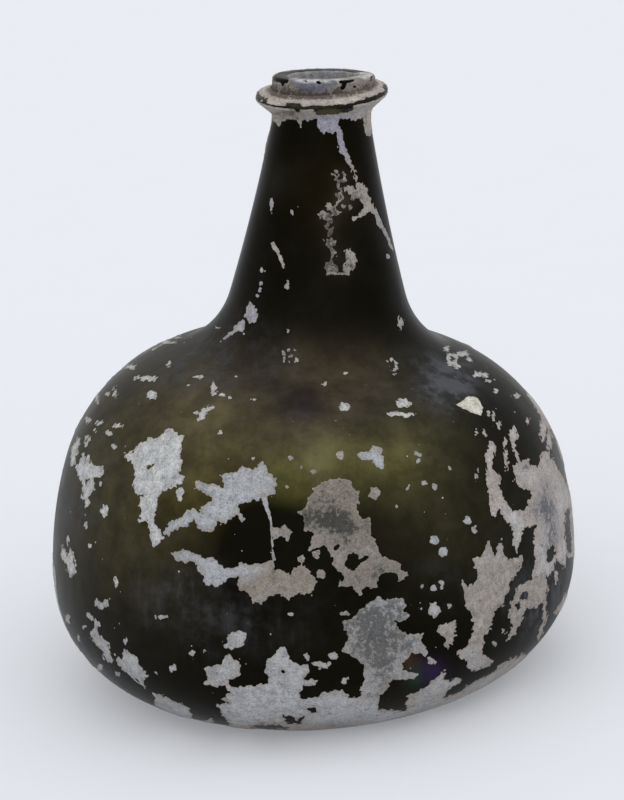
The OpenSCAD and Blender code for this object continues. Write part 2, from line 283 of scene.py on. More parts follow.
end = draw_line(bm, end, [mound_foot, WALL - BELLY_Z], HIDDEN_CELL)
end = draw_line(bm, end, mound_end, HIDDEN_CELL)
end = draw_arc(bm, end, kick_tip_c, mound_r, 90 - kick_a, 90, HIDDEN_CELL)
turn_round(bm, GLASS_STEPS)
from_middle = places(bm)
points, sight, x, y = sighted(bm, leaned)

# Painted glow: olive light that shines through the glass is painted into its colour, with real spots of
# iridescence
# and brown film among it: pixel, spread in pixels, colour. Less than nought takes painted glow away. On the
# unseen side
# a band of the body has painted olive glow in places. The grey haze is partly real dulling and partly
# painted sheen:
# pixel, spread in pixels, amount.
SPREAD_WIDTH = 2 * math.sqrt(2)
BAND_LOW = 0.005
BAND_RISE = 0.030
BAND_HIGH = 0.070
BAND_FALL = 0.020
PAINTED_GLOW_OLIVE = (0.050, 0.044, 0.016)
# Painted glow of light through the glass, with a few real spots of brown film on the neck and iridescence on
# the heel.
PAINTED_GLOWS_AND_STAINS = [
    ((212, 444), 36, (0.058, 0.050, 0.020)),
    ((312, 456), 30, (0.068, 0.059, 0.028)),
    ((288, 478), 18, (0.034, 0.034, 0.004)),
    ((345, 462), 22, (0.020, 0.022, 0.000)),
    ((394, 462), 24, (0.050, 0.046, 0.014)),
    ((425, 436), 30, (0.024, 0.022, 0.012)),
    ((340, 422), 44, (0.014, 0.011, 0.012)),
    ((120, 530), 46, (0.026, 0.022, 0.010)),
    ((112, 450), 40, (0.026, 0.022, 0.010)),
    ((175, 395), 46, (0.030, 0.024, 0.014)),
    ((240, 395), 36, (0.018, 0.014, 0.011)),
    ((300, 366), 16, (0.028, 0.022, 0.012)),
    ((302, 412), 14, (-0.012, -0.011, 0.000)),
    ((300, 630), 24, (0.003, 0.003, 0.002)),
    ((342, 378), 20, (0.030, 0.022, 0.011)),
    ((385, 380), 24, (0.020, 0.017, 0.010)),
    ((195, 508), 26, (0.014, 0.011, 0.000)),
    ((262, 540), 34, (-0.022, -0.020, -0.009)),
    ((300, 558), 34, (-0.014, -0.012, -0.006)),
    ((450, 515), 44, (0.019, 0.017, 0.009)),
    ((180, 565), 60, (0.008, 0.007, 0.004)),
    ((325, 190), 24, (0.003, 0.001, -0.001)),
    ((272, 180), 14, (0.006, 0.006, 0.004)),
    ((342, 178), 9, (0.010, 0.008, 0.006)),
    ((344, 200), 8, (0.018, 0.015, 0.011)),
    ((331, 218), 8, (0.014, 0.011, 0.008)),
    ((330, 240), 7, (0.010, 0.008, 0.006)),
    ((341, 262), 10, (0.012, 0.010, 0.007)),
    ((405, 658), 9, (0.034, 0.016, 0.011)),
    ((414, 676), 7, (0.006, 0.026, 0.014)),
    ((432, 672), 9, (0.020, 0.010, 0.042)),
]
# Grey haze: real dulling of the glass, and painted sheen on the shoulder and along the limbs, where it
# reflects light.
HAZES_AND_SHEEN = [
    ((185, 352), 50, 0.45),
    ((452, 384), 18, 1.1),
    ((430, 374), 26, 0.3),
    ((285, 362), 24, 0.2),
    ((170, 592), 40, 0.32),
    ((230, 625), 30, 0.22),
    ((552, 602), 32, 0.7),
    ((90, 480), 40, 0.25),
    ((65, 510), 16, 0.4),
    ((300, 632), 30, 0.16),
    ((440, 585), 26, 0.2),
]
facing = np.clip(sight * 4, 0, 1)
height = from_middle[:, 2]
band = np.clip((height - BAND_LOW) / BAND_RISE, 0, 1) * np.clip((BAND_HIGH - height) / BAND_FALL, 0, 1)
# The band on the unseen side is painted glow.
hidden_painted_glow = band * np.clip(0.4 + 0.8 * wander(points, 0.035, 1), 0, 1) * (1 - facing)
painted_glow_and_stain = hidden_painted_glow[:, None] * np.array(PAINTED_GLOW_OLIVE)
for spot, spread, colour in PAINTED_GLOWS_AND_STAINS:
    near = facing * soft_spot(x, y, spot, SPREAD_WIDTH * spread, SPREAD_WIDTH * spread)
    painted_glow_and_stain += near[:, None] * np.array(colour)
painted_glow_and_stain = np.maximum(painted_glow_and_stain, 0)
haze = np.clip(wander(points, 0.03, 2), 0, 1) * 0.5 * (1 - facing)
for spot, spread, amount in HAZES_AND_SHEEN:
    haze += amount * facing * soft_spot(x, y, spot, SPREAD_WIDTH * spread, SPREAD_WIDTH * spread)
painted_glow_and_stain_layer = bm.verts.layers.float_color.new("painted_glow_and_stain")
for vert, colour in zip(bm.verts, painted_glow_and_stain.tolist()):
    vert[painted_glow_and_stain_layer] = colour + [1]
paint(bm, haze=haze)


class Value:
    """A socket of a material. Maths on it adds Math nodes to the material."""

    def __init__(self, tree, socket=None):
        self.tree = tree
        self.socket = socket

    def add(self, kind, settings, sockets, output=0):
        """Adds a node: its settings first, then what its sockets hold or are linked to."""
        node = self.tree.nodes.new(kind)
        for key, setting in settings.items():
            setattr(node, key, setting)
        for key, value in sockets.items():
            if isinstance(value, Value):
                self.tree.links.new(value.socket, node.inputs[key])
            else:
                node.inputs[key].default_value = value
        if node.outputs:
            return Value(self.tree, node.outputs[output])

    def maths(self, operation, first, second):
        return self.add("ShaderNodeMath", {"operation": operation}, {0: first, 1: second})

    def __add__(self, other):
        return self.maths("ADD", self, other)

    def __radd__(self, other):
        return self.maths("ADD", other, self)

    def __sub__(self, other):
        return self.maths("SUBTRACT", self, other)

    def __rsub__(self, other):
        return self.maths("SUBTRACT", other, self)

    def __mul__(self, other):
        return self.maths("MULTIPLY", self, other)

    def __rmul__(self, other):
        return self.maths("MULTIPLY", other, self)

    def above(self, low, high):
        """0 below low, 1 above high, smooth between."""
        return self.add("ShaderNodeMapRange", {"interpolation_type": "SMOOTHSTEP"},
                        {"Value": self, "From Min": low, "From Max": high})

    def grain(self, size, detail=3, roughness=0.55, stretch=(1, 1, 1)):
        """Noise on Object coordinates, with features of the given size in metres."""
        place = self.add("ShaderNodeTexCoord", {}, {}, "Object")
        place = self.add("ShaderNodeMapping", {}, {"Vector": place, "Scale": stretch})
        return self.add("ShaderNodeTexNoise", {}, {"Vector": place, "Scale": 1 / size, "Detail": detail,
                                                   "Roughness": roughness})

    def cells(self, size, feature, output):
        """Cells on Object coordinates, of the given size in metres."""
        place = self.add("ShaderNodeTexCoord", {}, {}, "Object")
        sockets = {"Vector": place, "Scale": 1 / size}
        return self.add("ShaderNodeTexVoronoi", {"feature": feature}, sockets, output)

    def attribute(self, name, output="Fac"):
        return self.add("ShaderNodeAttribute", {"attribute_name": name}, {}, output)

    def mix(self, share, first, second, blend="MIX"):
        """A colour between two colours, or their sum or product."""
        settings = {"data_type": "RGBA", "blend_type": blend}
        return self.add("ShaderNodeMix", settings, {0: share, 6: first, 7: second}, 2)

    def grey(self, level):
        """A colour with the same level of red, green and blue."""
        return self.add("ShaderNodeCombineColor", {}, {0: level, 1: level, 2: level})

    def bump(self, height, strength, distance, normal=None):
        sockets = {"Height": height, "Strength": strength, "Distance": distance}
        if normal is not None:
            sockets["Normal"] = normal
        return self.add("ShaderNodeBump", {}, sockets)


def new_finish(name):
    """A material without nodes, and a value to start its nodes from."""
    material = bpy.data.materials.new(name)
    material.use_nodes = True
    material.node_tree.nodes.clear()
    return material, Value(material.node_tree)


def surface(start, sockets):
    """The shader of a finish, linked to its output."""
    shader = start.add("ShaderNodeBsdfPrincipled", {}, sockets)
    start.add("ShaderNodeOutputMaterial", {}, {"Surface": shader})


def place_piece(bm, name, material, sharp=None):
    """The finished piece, smooth but for edges sharper than sharp degrees."""
    mesh = bpy.data.meshes.new(name)
    bm.to_mesh(mesh)
    bm.free()
    mesh.shade_smooth()
    if sharp is not None:
        mesh.set_sharp_from_angle(angle=math.radians(sharp))
    mesh.materials.append(material)
    piece = bpy.data.objects.new(name, mesh)
    bpy.context.scene.collection.objects.link(piece)
    return piece


GLASS_BLACK = (0.0016, 0.0014, 0.0006, 1)
FILM_BROWN = (0.022, 0.018, 0.013, 1)
HAZE_AND_SHEEN_GREY = (0.072, 0.073, 0.083, 1)
DUST = (0.42, 0.41, 0.38, 1)
SPECK_CELL = 0.0017
SPECKS_FADE_FROM = 0.070
SPECKS_FADE_TO = 0.095
olive_glass, start = new_finish("olive_glass")
# Painted glow, with real colour spots, multiplies into the glass colour.
painted_glow_and_stain = start.attribute("painted_glow_and_stain", "Color")
haze = start.attribute("haze")
blotch = start.grain(0.0075, 7, 0.68)
film = start.grain(0.022, 6, 0.66)
streaks = start.grain(0.0016, 5, 0.6, (1, 1, 0.10))
clear = start.grey(0.62 + 0.76 * blotch.above(0.30, 0.72))
colour = start.mix(1.0, painted_glow_and_stain, clear, "MULTIPLY")
colour = start.mix(1.0, colour, GLASS_BLACK, "ADD")
colour = start.mix(0.16 * film.above(0.46, 0.70), colour, FILM_BROWN)
cloud = start.grain(0.006, 6, 0.68)
# The grey mixed in here is partly real dulling and partly painted sheen.
dull_and_sheen = haze * (0.35 + 1.0 * cloud.above(0.36, 0.66)) * (0.75 + 0.45 * streaks.above(0.35, 0.75))
colour = start.mix(dull_and_sheen.above(0.0, 1.1), colour, HAZE_AND_SHEEN_GREY)
mark = start.cells(SPECK_CELL, "F1", "Color")
size = 0.05 + 0.12 * mark.above(0.75, 0.95)
place = start.add("ShaderNodeTexCoord", {}, {}, "Object")
height = start.add("ShaderNodeSeparateXYZ", {}, {"Vector": place}, "Z")
speck = mark.above(0.74, 0.76) * (size - start.cells(SPECK_CELL, "F1", "Distance")).above(0.0, 0.03)
speck = speck * (1 - height.above(SPECKS_FADE_FROM, SPECKS_FADE_TO))
colour = start.mix(0.9 * speck, colour, DUST)
rough = 0.17 + 0.20 * film + 0.25 * dull_and_sheen + 0.4 * speck + 0.12 * blotch
waves = start.grain(0.02, 2, 0.5, (1, 1, 0.5))
pits = start.grain(0.0007, 4, 0.6)
shape = start.bump(waves, 0.15, 0.004)
shape = start.bump(pits, 0.08, 0.0004, shape)
surface(start, {"Base Color": colour, "Roughness": rough, "Specular IOR Level": 0.045, "IOR": 1.5,
                "Specular Tint": (1.0, 0.88, 0.52, 1), "Normal": shape})
glass_body = place_piece(bm, "glass_body_dressed", olive_glass)
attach(glass_body, "root")
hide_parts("glass_body")

# String rim: a trail of hot glass wound once round the neck below the lip and pinched to a V with hollow
# faces, so that a cord can hold the cork down. It sits askew, dipping at the front and rising at the right.
# Where the glass is bare at the front, an olive glow is painted into its colour, standing in for light
# through it.
RIM_R = 0.0172
RIM_DROP = 0.005
RIM_EDGE_R = 0.0008
RIM_SUNK = 0.0008
RIM_UP_SUNK = 0.0001
RIM_UP_SLOPE = 16
RIM_UP_FILLET = 0.0013
RIM_DOWN_SLOPE = 44
RIM_DOWN_FILLET = 0.0015
RIM_PINCH = 0.32
RIM_SHIFT = 0.00015
RIM_GROWTH = 1.008
RIM_DIP = math.radians(4.5)
RIM_RISE = math.radians(3.8)
# Painted glow in the bare trail glass: pixel, width, height, amount.
RIM_PAINTED_GLOWS = [((328, 112), 44, 7, 1.0), ((300, 106), 20, 5, 0.3)]
RIM_PAINTED_GLOW_LEAST = 0.15
RIM_WAVE = 0.00018
RIM_WAVE_LENGTH = 0.009
RIM_CELL = 0.0006
RIM_STEPS = 192
rim_root_r = NECK_R - RIM_SUNK
rim_z = mouth_z - RIM_DROP
rim_edge_c = np.array([RIM_R - RIM_EDGE_R, 0])
rim_up_a = 90 - RIM_UP_SLOPE
rim_down_a = RIM_DOWN_SLOPE - 90
rim_turn = np.array(Matrix.Rotation(-RIM_RISE, 3, "Y") @ Matrix.Rotation(RIM_DIP, 3, "X"))


def fillet_centre(face_a, radius, wall_r):
    """The middle of the hollow between a face of the rim, which looks along face_a, and the wall."""
    away = polar(RIM_EDGE_R + radius, face_a)
    inward = (rim_edge_c[0] + away[0] - wall_r - radius) / math.sin(math.radians(abs(face_a)))
    turn = 90 if face_a > 0 else -90
    return rim_edge_c + away + polar(inward, face_a + turn)


rim_up_c = fillet_centre(rim_up_a, RIM_UP_FILLET, LIP_R - RIM_UP_SUNK)
rim_down_c = fillet_centre(rim_down_a, RIM_DOWN_FILLET, NECK_R)


def spots_at(x, y, spots):
    """Soft spots added up: pixel, width, height, amount."""
    total = np.zeros(len(x))
    for middle, width, height, amount in spots:
        total += amount * soft_spot(x, y, middle, width, height)
    return total


def rim_seated(points):
    """Points of the string rim, from its middle, set askew on the neck. The front is pinched from below."""
    reach = np.linalg.norm(points[:, :2], axis=1)
    front = np.clip(-points[:, 1] / reach, 0, 1)
    height = np.where(points[:, 2] < 0, points[:, 2] * (1 - RIM_PINCH * front ** 2), points[:, 2])
    grown = 1 + (RIM_GROWTH - 1) * np.clip((reach - NECK_R) / (RIM_R - NECK_R), 0, 1)
    wound = np.stack([points[:, 0] * grown - RIM_SHIFT, points[:, 1] * grown, height], axis=1)
    return leaned(wound @ rim_turn.T + np.array([0, 0, rim_z]))


bm = bmesh.new()
first = start_line(bm, [rim_root_r, rim_down_c[1]])
end = draw_line(bm, first, rim_down_c + polar(RIM_DOWN_FILLET, 180), RIM_CELL)
end = draw_arc(bm, end, rim_down_c, RIM_DOWN_FILLET, 180, rim_down_a + 180, RIM_CELL / 2)
end = draw_line(bm, end, rim_edge_c + polar(RIM_EDGE_R, rim_down_a), RIM_CELL)
end = draw_arc(bm, end, rim_edge_c, RIM_EDGE_R, rim_down_a, rim_up_a, RIM_CELL / 2)
end = draw_line(bm, end, rim_up_c + polar(RIM_UP_FILLET, rim_up_a + 180), RIM_CELL)
end = draw_arc(bm, end, rim_up_c, RIM_UP_FILLET, rim_up_a + 180, 180, RIM_CELL / 2)
end = draw_line(bm, end, [rim_root_r, rim_up_c[1]], RIM_CELL)
bmesh.ops.contextual_create(bm, geom=[end, first])
turn_round(bm, RIM_STEPS)
wound = places(bm)
reach = np.linalg.norm(wound[:, :2], axis=1)
wave = RIM_WAVE * wander(wound, RIM_WAVE_LENGTH, 3) * np.clip((reach - NECK_R) / (RIM_R - NECK_R), 0, 1)
wound[:, :2] *= (1 + wave / reach)[:, None]
move_to(bm, rim_seated(wound))
x, y = pixels(places(bm))
paint(bm, glow=RIM_PAINTED_GLOW_LEAST + spots_at(x, y, RIM_PAINTED_GLOWS))

trail_glass, start = new_finish("trail_glass")
swirl = start.grain(0.004, 5, 0.6, (1, 1, 2.5))
grime = start.grain(0.0012, 5, 0.65)
# Painted olive glow, standing in for light through the trail glass.
painted_olive_glow = start.attribute("glow") * (0.5 + 1.0 * swirl.above(0.35, 0.65))
colour = start.mix(painted_olive_glow.above(0.0, 1.2), (0.004, 0.0036, 0.002, 1), (0.050, 0.040, 0.010, 1))
colour = start.mix(0.25 * grime.above(0.55, 0.7), colour, (0.055, 0.050, 0.043, 1))
rough = 0.16 + 0.35 * grime.above(0.4, 0.7)
shape = start.bump(swirl, 0.25, 0.0012)
shape = start.bump(grime, 0.2, 0.0003, shape)
surface(start, {"Base Color": colour, "Roughness": rough, "Specular IOR Level": 0.10, "Normal": shape})
string_rim = place_piece(bm, "string_rim_dressed", trail_glass)
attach(string_rim, "root")
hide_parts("string_rim")

# Pontil scar: the rough ring that stayed on the tip of the kick when the pontil rod was knocked off.
# It is the same glass, broken, so it is sharp, pale along its edges and not quite a full ring.
SCAR_R = 0.009
SCAR_W = 0.0032
SCAR_GAP = 70
SCAR_START = 40
SCAR_STEPS = 150
SCAR_SIDES = 20
SCAR_SHARP = 35
scar_z = kick_tip_c[1] + math.sqrt(KICK_TIP_R ** 2 - SCAR_R ** 2)
bm = bmesh.new()
end = start_line(bm, [SCAR_R + SCAR_W / 2, scar_z])
bmesh.ops.spin(bm, geom=[end], cent=(SCAR_R, 0, scar_z), axis=(0, -1, 0), angle=2 * math.pi,
               steps=SCAR_SIDES, use_merge=True)
scar_turn = Matrix.Rotation(math.radians(SCAR_START), 3, "Z")
bmesh.ops.rotate(bm, verts=bm.verts, cent=(0, 0, 0), matrix=scar_turn)
bmesh.ops.spin(bm, geom=bm.verts[:] + bm.edges[:], cent=(0, 0, 0), axis=(0, 0, 1),
               angle=math.radians(360 - SCAR_GAP), steps=SCAR_STEPS)
bmesh.ops.holes_fill(bm, edges=[edge for edge in bm.edges if edge.is_boundary])
bmesh.ops.recalc_face_normals(bm, faces=bm.faces)
bm.normal_update()
broken = places(bm)
lumps = 0.0005 * wander(broken, 0.0012, 4) + 0.0003 * wander(broken, 0.0005, 5)
broken = broken + lumps[:, None] * np.array([vert.normal for vert in bm.verts])
move_to(bm, leaned(broken))

scar_glass, start = new_finish("scar_glass")
splinter = start.grain(0.0008, 5, 0.7)
colour = start.mix(splinter.above(0.45, 0.65), (0.020, 0.020, 0.010, 1), (0.16, 0.165, 0.12, 1))
shape = start.bump(splinter, 0.6, 0.0004)
surface(start, {"Base Color": colour, "Roughness": 0.2 + 0.3 * splinter, "Specular IOR Level": 0.5,
                "Normal": shape})
pontil_scar = place_piece(bm, "pontil_scar_dressed", scar_glass, SCAR_SHARP)
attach(pontil_scar, "root")
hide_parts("pontil_scar")

# Crust of the left side: silvery mineral skin, the outer layer of the glass after centuries in the ground.
# It has split off in patches, so each flake is thin, keeps the curve of the glass and has a torn edge.
# Outlines are traced in pixels of the photograph, and ovals are the smaller flakes: pixel, width, height.
LEFT_KITE = [
    (170, 428), (183, 436), (182, 443), (180, 455), (183, 463), (179, 473), (184, 477), (182, 484),
    (173, 485), (161, 492), (157, 502), (155, 512), (154, 521), (159, 530), (163, 537), (157, 545),
    (153, 547), (150, 537), (148, 525), (146, 517), (139, 524), (141, 512), (138, 498), (134, 487),
    (135, 475), (132, 461), (124, 458), (124, 453), (132, 452), (137, 445), (149, 438), (159, 437),
    (162, 432),
]
LEFT_STRIP = [
    (82, 453), (86, 458), (89, 455), (90, 463), (103, 468), (103, 476), (95, 478), (93, 490), (87, 500),
    (82, 499), (83, 485), (78, 474), (75, 466), (81, 462),
]
LEFT_EDGE = [(78, 436), (80, 442), (77, 455), (74, 468), (70, 466), (72, 450)]
LEFT_LOW = [(63, 545), (67, 556), (71, 547), (74, 560), (76, 573), (70, 577), (66, 566), (61, 555)]
LEFT_CRACKS = [
    [(147, 467), (151, 466), (154, 464), (154, 466), (151, 468), (148, 469)],
    [(137, 494), (144, 494), (144, 497), (138, 497)],
    [(86, 480), (88.5, 479), (89, 488), (87, 489)],
]
LEFT_OVALS = [
    ((180, 494), 7, 12), ((104.5, 510), 8, 11), ((114, 447), 6, 6), ((109, 433), 6, 6),
    ((117, 426), 8, 4), ((99, 423), 8, 4), ((88, 438), 5, 6), ((86, 443), 3, 6), ((87, 503), 4, 10),
    ((101, 484), 3, 4), ((68, 540), 3, 5), ((89, 545), 3, 5), ((116, 582), 3, 6), ((95, 431), 3, 4),
    ((88, 420), 3, 5), ((200, 463), 2, 3), ((221, 433), 3, 3), ((86, 525), 2, 8),
]
LEFT_HEIGHTS = (-0.012, 0.062)
LEFT_AZIMUTHS = (-100, -20)

# All crust is torn from a fine grid on the glass. Depth is how far inside a torn edge a point lies,
# in pixels.
CRUST_CELL = 0.00031
CRUST_LOW = 0.00005
CRUST_HIGH = 0.00022
CRUST_DEEP = 0.00030
CRUST_SHARP = 40
CRUST_TEARS = [(0.0030, 1.0), (0.0012, 2.2), (0.00065, 2.1)]
CRUST_WARPS = [(0.018, 1.0), (0.007, 0.55), (0.003, 0.25)]
EDGE_PIXELS = 5
TEAR_PIXELS = 8
SHEET_GROW = 0.00002
PIXELS_PER_M = 4000
FAR = 14.0
SIDE_FADE = 70
HIDDEN_SIGHT = 0.3
HIDDEN_TEAR = 1.5
FLAKE_REACH = 0.02
FLAKE_RAGGED = 0.013


def arc_points(centre, radius, first, last, cell):
    """Points along an arc, without its last one."""
    count = max(2, math.ceil(radius * math.radians(abs(last - first)) / cell))
    angles = np.radians(np.linspace(first, last, count, endpoint=False))
    return centre + radius * np.stack([np.cos(angles), np.sin(angles)], axis=1)


def line_points(first, last, cell):
    """Points along a straight line, without its last one."""
    count = max(1, math.ceil(math.dist(first, last) / cell))
    share = np.linspace(0, 1, count, endpoint=False)[:, None]
    return np.array(first) * (1 - share) + np.array(last) * share


def body_line(low, high, cell):
    """The outline of the glass between two heights from the middle of the belly."""
    line = [arc_points(*arc, cell) for arc in body_arcs(SHEET_GROW)]
    line.append(line_points(neck_top, lip_c + polar(LIP_ROUND, 0), cell))
    line = np.concatenate(line)
    return line[(line[:, 1] > low) & (line[:, 1] < high)]


def lay_sheet(line, first_azimuth, last_azimuth, cell):
    """A flat grid laid on to a turned outline between two azimuths: 0 is the front, plus is right."""
    turn = math.radians(last_azimuth - first_azimuth)
    rows = len(line) - 1
    columns = math.ceil(line[:, 0].max() * turn / cell)
    sheet = bmesh.new()
    bmesh.ops.create_grid(sheet, x_segments=columns, y_segments=rows, size=0.5)
    flat = places(sheet) + 0.5
    azimuth = math.radians(first_azimuth) + turn * flat[:, 0]
    reach = np.interp(flat[:, 1] * rows, np.arange(rows + 1), line[:, 0])
    height = np.interp(flat[:, 1] * rows, np.arange(rows + 1), line[:, 1])
    move_to(sheet, np.stack([reach * np.sin(azimuth), -reach * np.cos(azimuth), height], axis=1))
    if last_azimuth - first_azimuth == 360:
        bmesh.ops.remove_doubles(sheet, verts=sheet.verts, dist=1e-6)
    return sheet


def body_sheet(heights, azimuths, cell):
    """A sheet on the glass, between two heights from the middle of the belly and two azimuths."""
    return lay_sheet(body_line(*heights, cell), *azimuths, cell)


def inside_outline(x, y, outline):
    """How many pixels each point lies inside an outline, minus for outside, and -FAR for far away."""
    corners = np.array(outline, float)
    depth = np.full(len(x), -FAR)
    low = corners.min(axis=0) - FAR
    high = corners.max(axis=0) + FAR
    near = (x > low[0]) & (x < high[0]) & (y > low[1]) & (y < high[1])
    px = x[near]
    py = y[near]
    gap = np.full(len(px), FAR)
    odd = np.zeros(len(px), bool)
    for (ax, ay), (bx, by) in zip(corners, np.roll(corners, -1, axis=0)):
        run = bx - ax
        rise = by - ay
        share = np.clip(((px - ax) * run + (py - ay) * rise) / (run * run + rise * rise), 0, 1)
        gap = np.minimum(gap, np.hypot(px - ax - share * run, py - ay - share * rise))
        if rise:
            odd ^= ((ay > py) != (by > py)) & (px < ax + (py - ay) * run / rise)
    depth[near] = np.where(odd, gap, -gap)
    return depth


def inside_oval(x, y, oval):
    """How many pixels each point lies inside a small oval flake."""
    (middle_x, middle_y), width, height = oval
    spread = np.hypot((x - middle_x) * 2 / width, (y - middle_y) * 2 / height)
    return np.maximum((1 - spread) * min(width, height) / 2, -FAR)


def flake_place(slope):
    """The point of the outline where the glass slopes by so many degrees, 0 at the widest ring."""
    if slope > SIDE_ANGLE:
        return shoulder_c + polar(SHOULDER_R, slope)
    if slope > JOIN_ANGLE:
        return side_c + polar(SIDE_R, slope)
    if slope > -JOIN_ANGLE:
        return polar(BELLY_R, slope)
    return heel_c + polar(heel_r, slope)


def inside_turned(u, v, radius, width, height, turn):
    """How many pixels each point lies inside a turned oval, given in degrees round a radius."""
    swing = math.radians(turn)
    u, v = u * math.cos(swing) + v * math.sin(swing), v * math.cos(swing) - u * math.sin(swing)
    half_w = radius * math.radians(width) / 2
    half_h = radius * math.radians(height) / 2
    depth = (1 - np.hypot(u / half_w, v / half_h)) * min(half_w, half_h) * PIXELS_PER_M
    return np.maximum(depth, -FAR)


def inside_flake(from_middle, flake):
    """How many pixels each point lies inside a flake of the unseen side: azimuth, slope, width, height and
    turn, in degrees as seen from the middle of the belly."""
    azimuth, slope, width, height, turn = flake
    radius, rise = flake_place(slope)
    way = np.array([math.sin(math.radians(azimuth)), -math.cos(math.radians(azimuth)), 0])
    across = np.array([-way[1], way[0], 0])
    tilt = math.radians(slope)
    upward = np.array([0, 0, 1]) * math.cos(tilt) - way * math.sin(tilt)
    outward = way * math.cos(tilt) + np.array([0, 0, 1]) * math.sin(tilt)
    offset = from_middle - (way * radius + np.array([0, 0, rise]))
    depth = inside_turned(offset @ across, offset @ upward, BELLY_R, width, height, turn)
    return np.where(offset @ outward > -FLAKE_REACH, depth, -FAR)


def trimmed(sheet, depth):
    """Cuts a sheet along the line where the depth is nought, and drops what lies outside it."""
    layer = sheet.verts.layers.float.new("depth")
    for vert, amount in zip(sheet.verts, depth.tolist()):
        vert[layer] = amount if amount else 1e-4
    outside = [face for face in sheet.faces if max(vert[layer] for vert in face.verts) < 0]
    bmesh.ops.delete(sheet, geom=outside, context="FACES")
    torn = []
    for edge in sheet.edges[:]:
        a, b = edge.verts
        if a[layer] * b[layer] < 0:
            share = a[layer] / (a[layer] - b[layer])
            vert = bmesh.utils.edge_split(edge, a, share)[1]
            vert[layer] = 0
            torn.append(vert)
    bmesh.ops.connect_verts(sheet, verts=torn)
    beyond = [vert for vert in sheet.verts if vert[layer] < 0]
    bmesh.ops.delete(sheet, geom=beyond, context="VERTS")
    torn = [vert for vert in torn if vert.is_valid]
    bmesh.ops.remove_doubles(sheet, verts=torn, dist=CRUST_CELL * 0.25)
    return layer


def thickened(sheet, layer, seed):
    """Gives a trimmed sheet its thickness: thin at the torn edge, thicker and lumpy further in."""
    sheet.normal_update()
    under = sheet.faces[:]
    points = places(sheet)
    lumps = 1 + 0.35 * wander(points, 0.0016, seed) + 0.25 * wander(points, 0.0006, seed + 1)
    moves = []
    for vert, lump in zip(sheet.verts, lumps.tolist()):
        inward = min(vert[layer] / EDGE_PIXELS, 1)
        high = CRUST_LOW + (CRUST_HIGH - CRUST_LOW) * inward * lump
        moves.append((vert, vert.normal * high))
    for vert, move in moves:
        vert.co += move
    bmesh.ops.extrude_face_region(sheet, geom=under, use_keep_orig=True)
    for vert, move in moves:
        vert.co -= move.normalized() * CRUST_DEEP
    bmesh.ops.reverse_faces(sheet, faces=under)


def warped(points, reach, seed):
    """Points pushed to and fro, so that what is even becomes ragged. The same seed gives the same push."""
    noise.seed_set(seed)
    pushed = points.copy()
    for size, share in CRUST_WARPS:
        spots = points / size + seed
        pushed += reach * share * np.array([noise.noise_vector(spot) for spot in spots.tolist()])
    return pushed


def crust_on(sheet, seed, outlines=(), ovals=(), bare=(), flakes=(), stains=(), warmth=(), tear=1.0,
             frayed=(), inside=inside_flake, ragged=FLAKE_RAGGED):
    """Crust torn out of a sheet: traced outlines and ovals on the side that is seen, flakes on the other.
    Traced flakes run out a little way round the side. Stains darken the crust, and some are painted shade
    under the string rim; warmth turns it buff, and where it is frayed it is torn to wisps, or less torn by
    an amount below nought."""
    from_middle = places(sheet)
    points, sight, x, y = sighted(sheet, leaned)
    depth = np.full(len(points), -FAR)
    for outline in outlines:
        depth = np.maximum(depth, inside_outline(x, y, outline))
    for oval in ovals:
        depth = np.maximum(depth, inside_oval(x, y, oval))
    for outline in bare:
        depth = np.minimum(depth, -inside_outline(x, y, outline))
    depth = np.maximum(depth + SIDE_FADE * np.minimum(sight, 0), -FAR)
    hidden = sight < HIDDEN_SIGHT
    if flakes:
        ragged_places = warped(from_middle[hidden], ragged, seed)
    for flake in flakes:
        depth[hidden] = np.maximum(depth[hidden], inside(ragged_places, flake))
    close = depth > -TEAR_PIXELS
    beyond = [vert for vert, kept in zip(sheet.verts, close) if not kept]
    bmesh.ops.delete(sheet, geom=beyond, context="VERTS")
    points, depth, x, y = points[close], depth[close], x[close], y[close]
    facing = sight[close] > 0
    rough = np.zeros(len(points))
    for step, (size, amount) in enumerate(CRUST_TEARS):
        rough += amount * wander(points, size, seed + step)
    depth += (tear + spots_at(x, y, frayed)) * np.where(facing, 1.0, HIDDEN_TEAR) * rough
    blots = np.clip(0.5 + 0.9 * wander(points, 0.006, seed + 3), 0, 1)
    hidden_stain = 0.35 * np.clip(wander(points, 0.008, seed + 4), 0, 1)
    hidden_warmth = np.clip(0.4 + wander(points, 0.015, seed + 5), 0, 1)
    stain = np.where(facing, spots_at(x, y, stains), hidden_stain)
    warm = np.where(facing, spots_at(x, y, warmth), hidden_warmth)
    paint(sheet, stain=stain * (0.6 + 0.5 * blots), warm=warm)
    thickened(sheet, trimmed(sheet, depth), seed + 6)


PALEST = (0.56, 0.545, 0.54, 1)
EDGE_BROWN = (0.20, 0.18, 0.15, 1)


